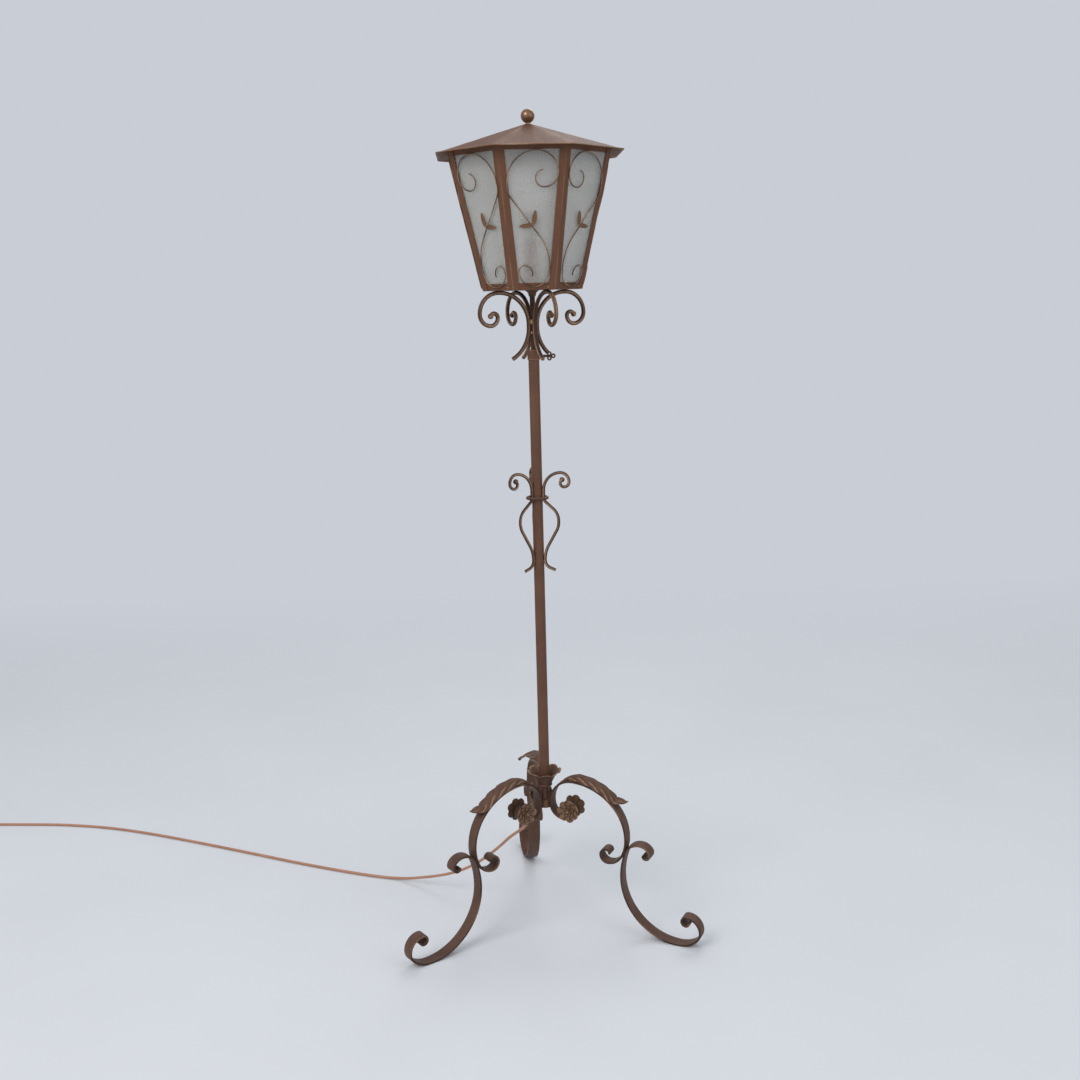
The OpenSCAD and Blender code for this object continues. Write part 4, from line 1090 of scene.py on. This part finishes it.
class LAMP_OT_lantern(Maker):
    """Folds the corner posts and the roof, and glazes the lantern"""
    bl_idname = "lamp.lantern"
    bl_label = "Lantern frame and roof"

    def posts(self, s, form):
        """A post is a strip folded along the edge between two faces: at each height its section
        is the two flanges with a rounded fold, and both ends are cut level."""
        rows = np.linspace(0, 1, 30)[:, None]
        half = form.foot_half + (form.head_half - form.foot_half) * rows
        y = form.slant * rows
        w, t = s.frame_w, s.sheet
        inset = t * math.tan(rad(EIGHTH / 2))
        flange = np.array([-w, -w + 0.4, -w * 0.7, -w * 0.4, -1.6, -0.7])
        n = flange.size
        # Painted highlight along the fold and on the strip's two edges, in patches; the braze beads
        # are gold
        bright = np.zeros(4 * n)
        bright[n - 1:n + 1] = 0.3  # the fold
        bright[[0, 2 * n - 1]] = 0.25  # the strip's two edges
        mirror = [-1, 1, 1]
        braze = bead(1.5, 1.2, [form.foot_half - w - 1, 4.5, 0], rings=7, sides=10)
        shells = []
        for k in range(8):
            wave = lumpy(y * 1.7, 0.12, k) * (np.abs(flange) < w)
            out = grid(half + flange, y, wave)
            back = grid(half + flange - inset * (flange > -2), y, -t)
            points = np.concatenate([form.face(k, out), form.face(k + 1, out * mirror)[:, ::-1],
                                     form.face(k + 1, back * mirror),
                                     form.face(k, back)[:, ::-1]], 1)
            patchy = np.clip(0.55 + 0.6 * np.sin(y / 23 + k) + 0.3 * np.sin(y / 7 + 3 * k), 0, 1)
            shells += [Shell(points, rub=bright * patchy), Shell(form.face(k, braze), rub=0.9)]
        build("posts", shells, "sheet", "corner_posts", sharp=14)

    def roof(self, s):
        """Each eighth is flat, with a slight dent, and its two ridges are rounded over a narrow
        band. A flat top of the apex's radius is left for the ball."""
        low, high = corners("roof")
        apex, rim, slope, thick = 2.0, s.roof_r, s.roof_h / s.roof_r, s.sheet * 1.3
        step = np.array([-22.5, -22.1, -21.2, -14, -5, 5, 14, 21.2, 22.1])
        theta = (EIGHTH * np.arange(8)[:, None] + step).ravel()
        off_middle = (theta + EIGHTH / 2) % EIGHTH - EIGHTH / 2
        off_ridge = np.abs(np.abs(off_middle) - EIGHTH / 2)
        away = math.cos(rad(EIGHTH / 2)) / np.cos(rad(off_middle))
        away = away * np.where(off_ridge < 0.1, 0.9985, 1)
        reach = np.linspace(0.02, 1, 26)[:, None]
        r = np.maximum(rim * reach, apex + 3.1)
        dent = lumpy(r * 1.2 + theta * 2, 0.22, 2) * np.sin(np.pi * reach)
        inner = np.minimum(r, rim - 5.5)

        def eighths(r, z):
            return turned(grid(r * away * np.cos(rad(theta)), r * away * np.sin(rad(theta)), z),
                          s.lantern_turn)

        points = np.concatenate([
            eighths(r, high[2] - slope * (r - apex) + dent),
            eighths(np.array([[rim - 0.2]]), low[2] + 0.3),
            eighths(np.array([[rim - 5]]), low[2] + 0.2 + 5 * slope - thick * 0.4),
            eighths(inner, high[2] - slope * (inner - apex) - thick)[::-1]])
        # Painted highlight in patches along the ridges and on the hem of the eave
        patchy = np.clip(0.6 + 0.5 * np.sin(points[..., 0] / 17) * np.sin(points[..., 1] / 19 + 1),
                         0, 1)
        rub = 0.3 * (off_ridge < 1.4) * patchy
        hem = slice(24, 28)
        rub[hem] = np.maximum(rub[hem], 0.55 * patchy[hem])
        build("pyramid", [Shell(points, loop=True, rub=rub)], "sheet", "roof", body="roof", sharp=9)

    def ball(self, s):
        """The ball's arc, its short neck, and the bore for the rod."""
        low, high = corners("finial_ball")
        r, neck, bore = s.ball_d / 2, low[2], 3.05
        middle = high[2] - r
        profile = np.concatenate([arc(0, middle, r, 88, -62, 40),
                                  [[5.6, neck + 1.4], [5.5, neck + 0.5], [5.1, neck], [bore, neck],
                                   [bore, middle], [0.6, middle + 0.5]]])
        build("roof_ball", [Shell(revolved(profile, 56), rub=0.3)], "ball", "finial_ball",
              body="finial")

    def make(self, s, form):
        self.posts(s, form)
        self.roof(s)
        self.ball(s)
        for finish, nodes in (
                ("sheet", ("top_ring", "bottom_ring", "lantern_floor")),
                ("bronze", ("bridge_bar",)),
                ("brass", ("bridge_nut", "finial_rod", "floor_nut", "bulb_cap")),
                ("dark_plastic", ("lampholder",)), ("sleeve", ("candle_sleeve",)),
                ("opal_glass", ("bulb_glass",)),
                ("frosted_glass", [f"glass_pane_{k + 1}" for k in range(8)])):
            for node in nodes:
                dress(node, finish)


class LAMP_OT_pane_scrolls(Maker):
    """Bends the wire scroll of each pane and cuts its two leaves"""
    bl_idname = "lamp.pane_scrolls"
    bl_label = "Pane scrolls"

    # Bends of the wire, for a pane that is 101 across in the middle and 260 up its slope
    drawn_wide, drawn_tall = 101, 260
    start = [19, 212.7, 185.6]
    moves = [[15, 170], [25, 90], [37.5, 90], [53, 90], [0, 10.5], [32, 41], [0, 87], [86, -36],
             [62, -20], [27, -75], [27, -90], [10, -90], [15, -90], [5, -40]]
    knot = (0.8, 117)

    def blade(self, length, width, thick):
        """A leaf blade: half-width follows the sine of the way along, fuller near the stalk,
        and the blade is folded up along its middle."""
        t = np.linspace(0.02, 0.995, 22)[:, None] * np.pi
        x = length * (1 - np.cos(t)) / 2
        half = width / 2 * np.sin(t) * (1.1 - 0.35 * x / length)
        v = np.linspace(-1, 1, 9)[None]
        fold = 0.9 * np.abs(v) ** 1.2 * np.sin(t)
        points = np.concatenate([grid(x, half * v, thick + fold),
                                 grid(x, half * v, fold + 0.2)[:, ::-1]], 1)
        # Painted highlight on the blade's edges and along its middle fold
        bright = 0.12 * (np.abs(v) > 0.9) + 0.2 * (np.abs(v) < 0.1)
        return points, np.hstack([bright, bright[:, ::-1]])

    def make(self, s, form):
        kx = (form.foot_half + form.head_half) / self.drawn_wide
        ky = form.slant / self.drawn_tall
        line = route(self.start, self.moves, 5) * [kx, ky, 1]
        way = np.gradient(line[:, :2], axis=0)
        line[:, 2] = np.degrees(np.unwrap(np.arctan2(way[:, 1], way[:, 0])))
        r = s.wire_d / 2
        a = circle(12)
        t = travelled(line)[:, None]
        end = np.minimum(1, np.minimum(t, t[-1] - t) / 2 + 0.4)
        wire = carried(line, r * end * np.cos(a), GAP + r + r * end * np.sin(a))[..., [0, 2, 1]]
        lit = np.clip(np.sin(a), 0, 1) ** 2 * np.clip(0.55 + 0.55 * np.sin(t / 11), 0, 1)
        knot_x, knot_y = self.knot[0] * kx, self.knot[1] * ky
        points, bright = self.blade(26, 9, 1.3)
        blades = [turned(points, turn) + [knot_x, knot_y, GAP + 0.3] for turn in (82, 186)]
        knot = bead(1.9, 1.6, [knot_x, knot_y, 1.6], rings=7)
        wires, leaves = [], []
        for k in range(8):
            flip = [-1 if k % 2 else 1, 1, 1]
            wires += [Shell(form.face(k, wire * flip), rub=lit),
                      Shell(form.face(k, knot * flip), rub=0.8)]
            leaves += [Shell(form.face(k, p * flip), rub=bright) for p in blades]
        build("wires", wires, "wire", "pane_scrolls", sharp=50)
        build("pane_leaves", leaves, "blade", "pane_scrolls", sharp=50)


class LAMP_PT_panel(bpy.types.Panel):
    """Lists the lamp's pieces, its sizes and its colours"""
    bl_label = "Lantern Floor Lamp"
    bl_idname = "LAMP_PT_panel"
    bl_space_type = "VIEW_3D"
    bl_region_type = "UI"
    bl_category = "Lamp"

    def draw(self, context):
        for maker in MAKERS:
            self.layout.operator(maker.bl_idname)
        for group in (context.scene.lamp_sizes, context.scene.lamp_finishes):
            for name in type(group).__annotations__:
                self.layout.prop(group, name)


MAKERS = (LAMP_OT_stage, LAMP_OT_cord, LAMP_OT_legs, LAMP_OT_leaves, LAMP_OT_rosettes, LAMP_OT_hub,
          LAMP_OT_pole, LAMP_OT_ornament, LAMP_OT_brackets, LAMP_OT_lantern, LAMP_OT_pane_scrolls)
CLASSES = (LampSizes, LampFinishes, *MAKERS, LAMP_PT_panel)


def register():
    for cls in CLASSES:
        bpy.utils.register_class(cls)
    bpy.types.Scene.lamp_sizes = PointerProperty(type=LampSizes)
    bpy.types.Scene.lamp_finishes = PointerProperty(type=LampFinishes)


def unregister():
    del bpy.types.Scene.lamp_finishes
    del bpy.types.Scene.lamp_sizes
    for cls in reversed(CLASSES):
        bpy.utils.unregister_class(cls)


def main():
    register()
    for maker in MAKERS:
        group, name = maker.bl_idname.split(".")
        getattr(getattr(bpy.ops, group), name)()


if __name__ == "__main__":
    main()
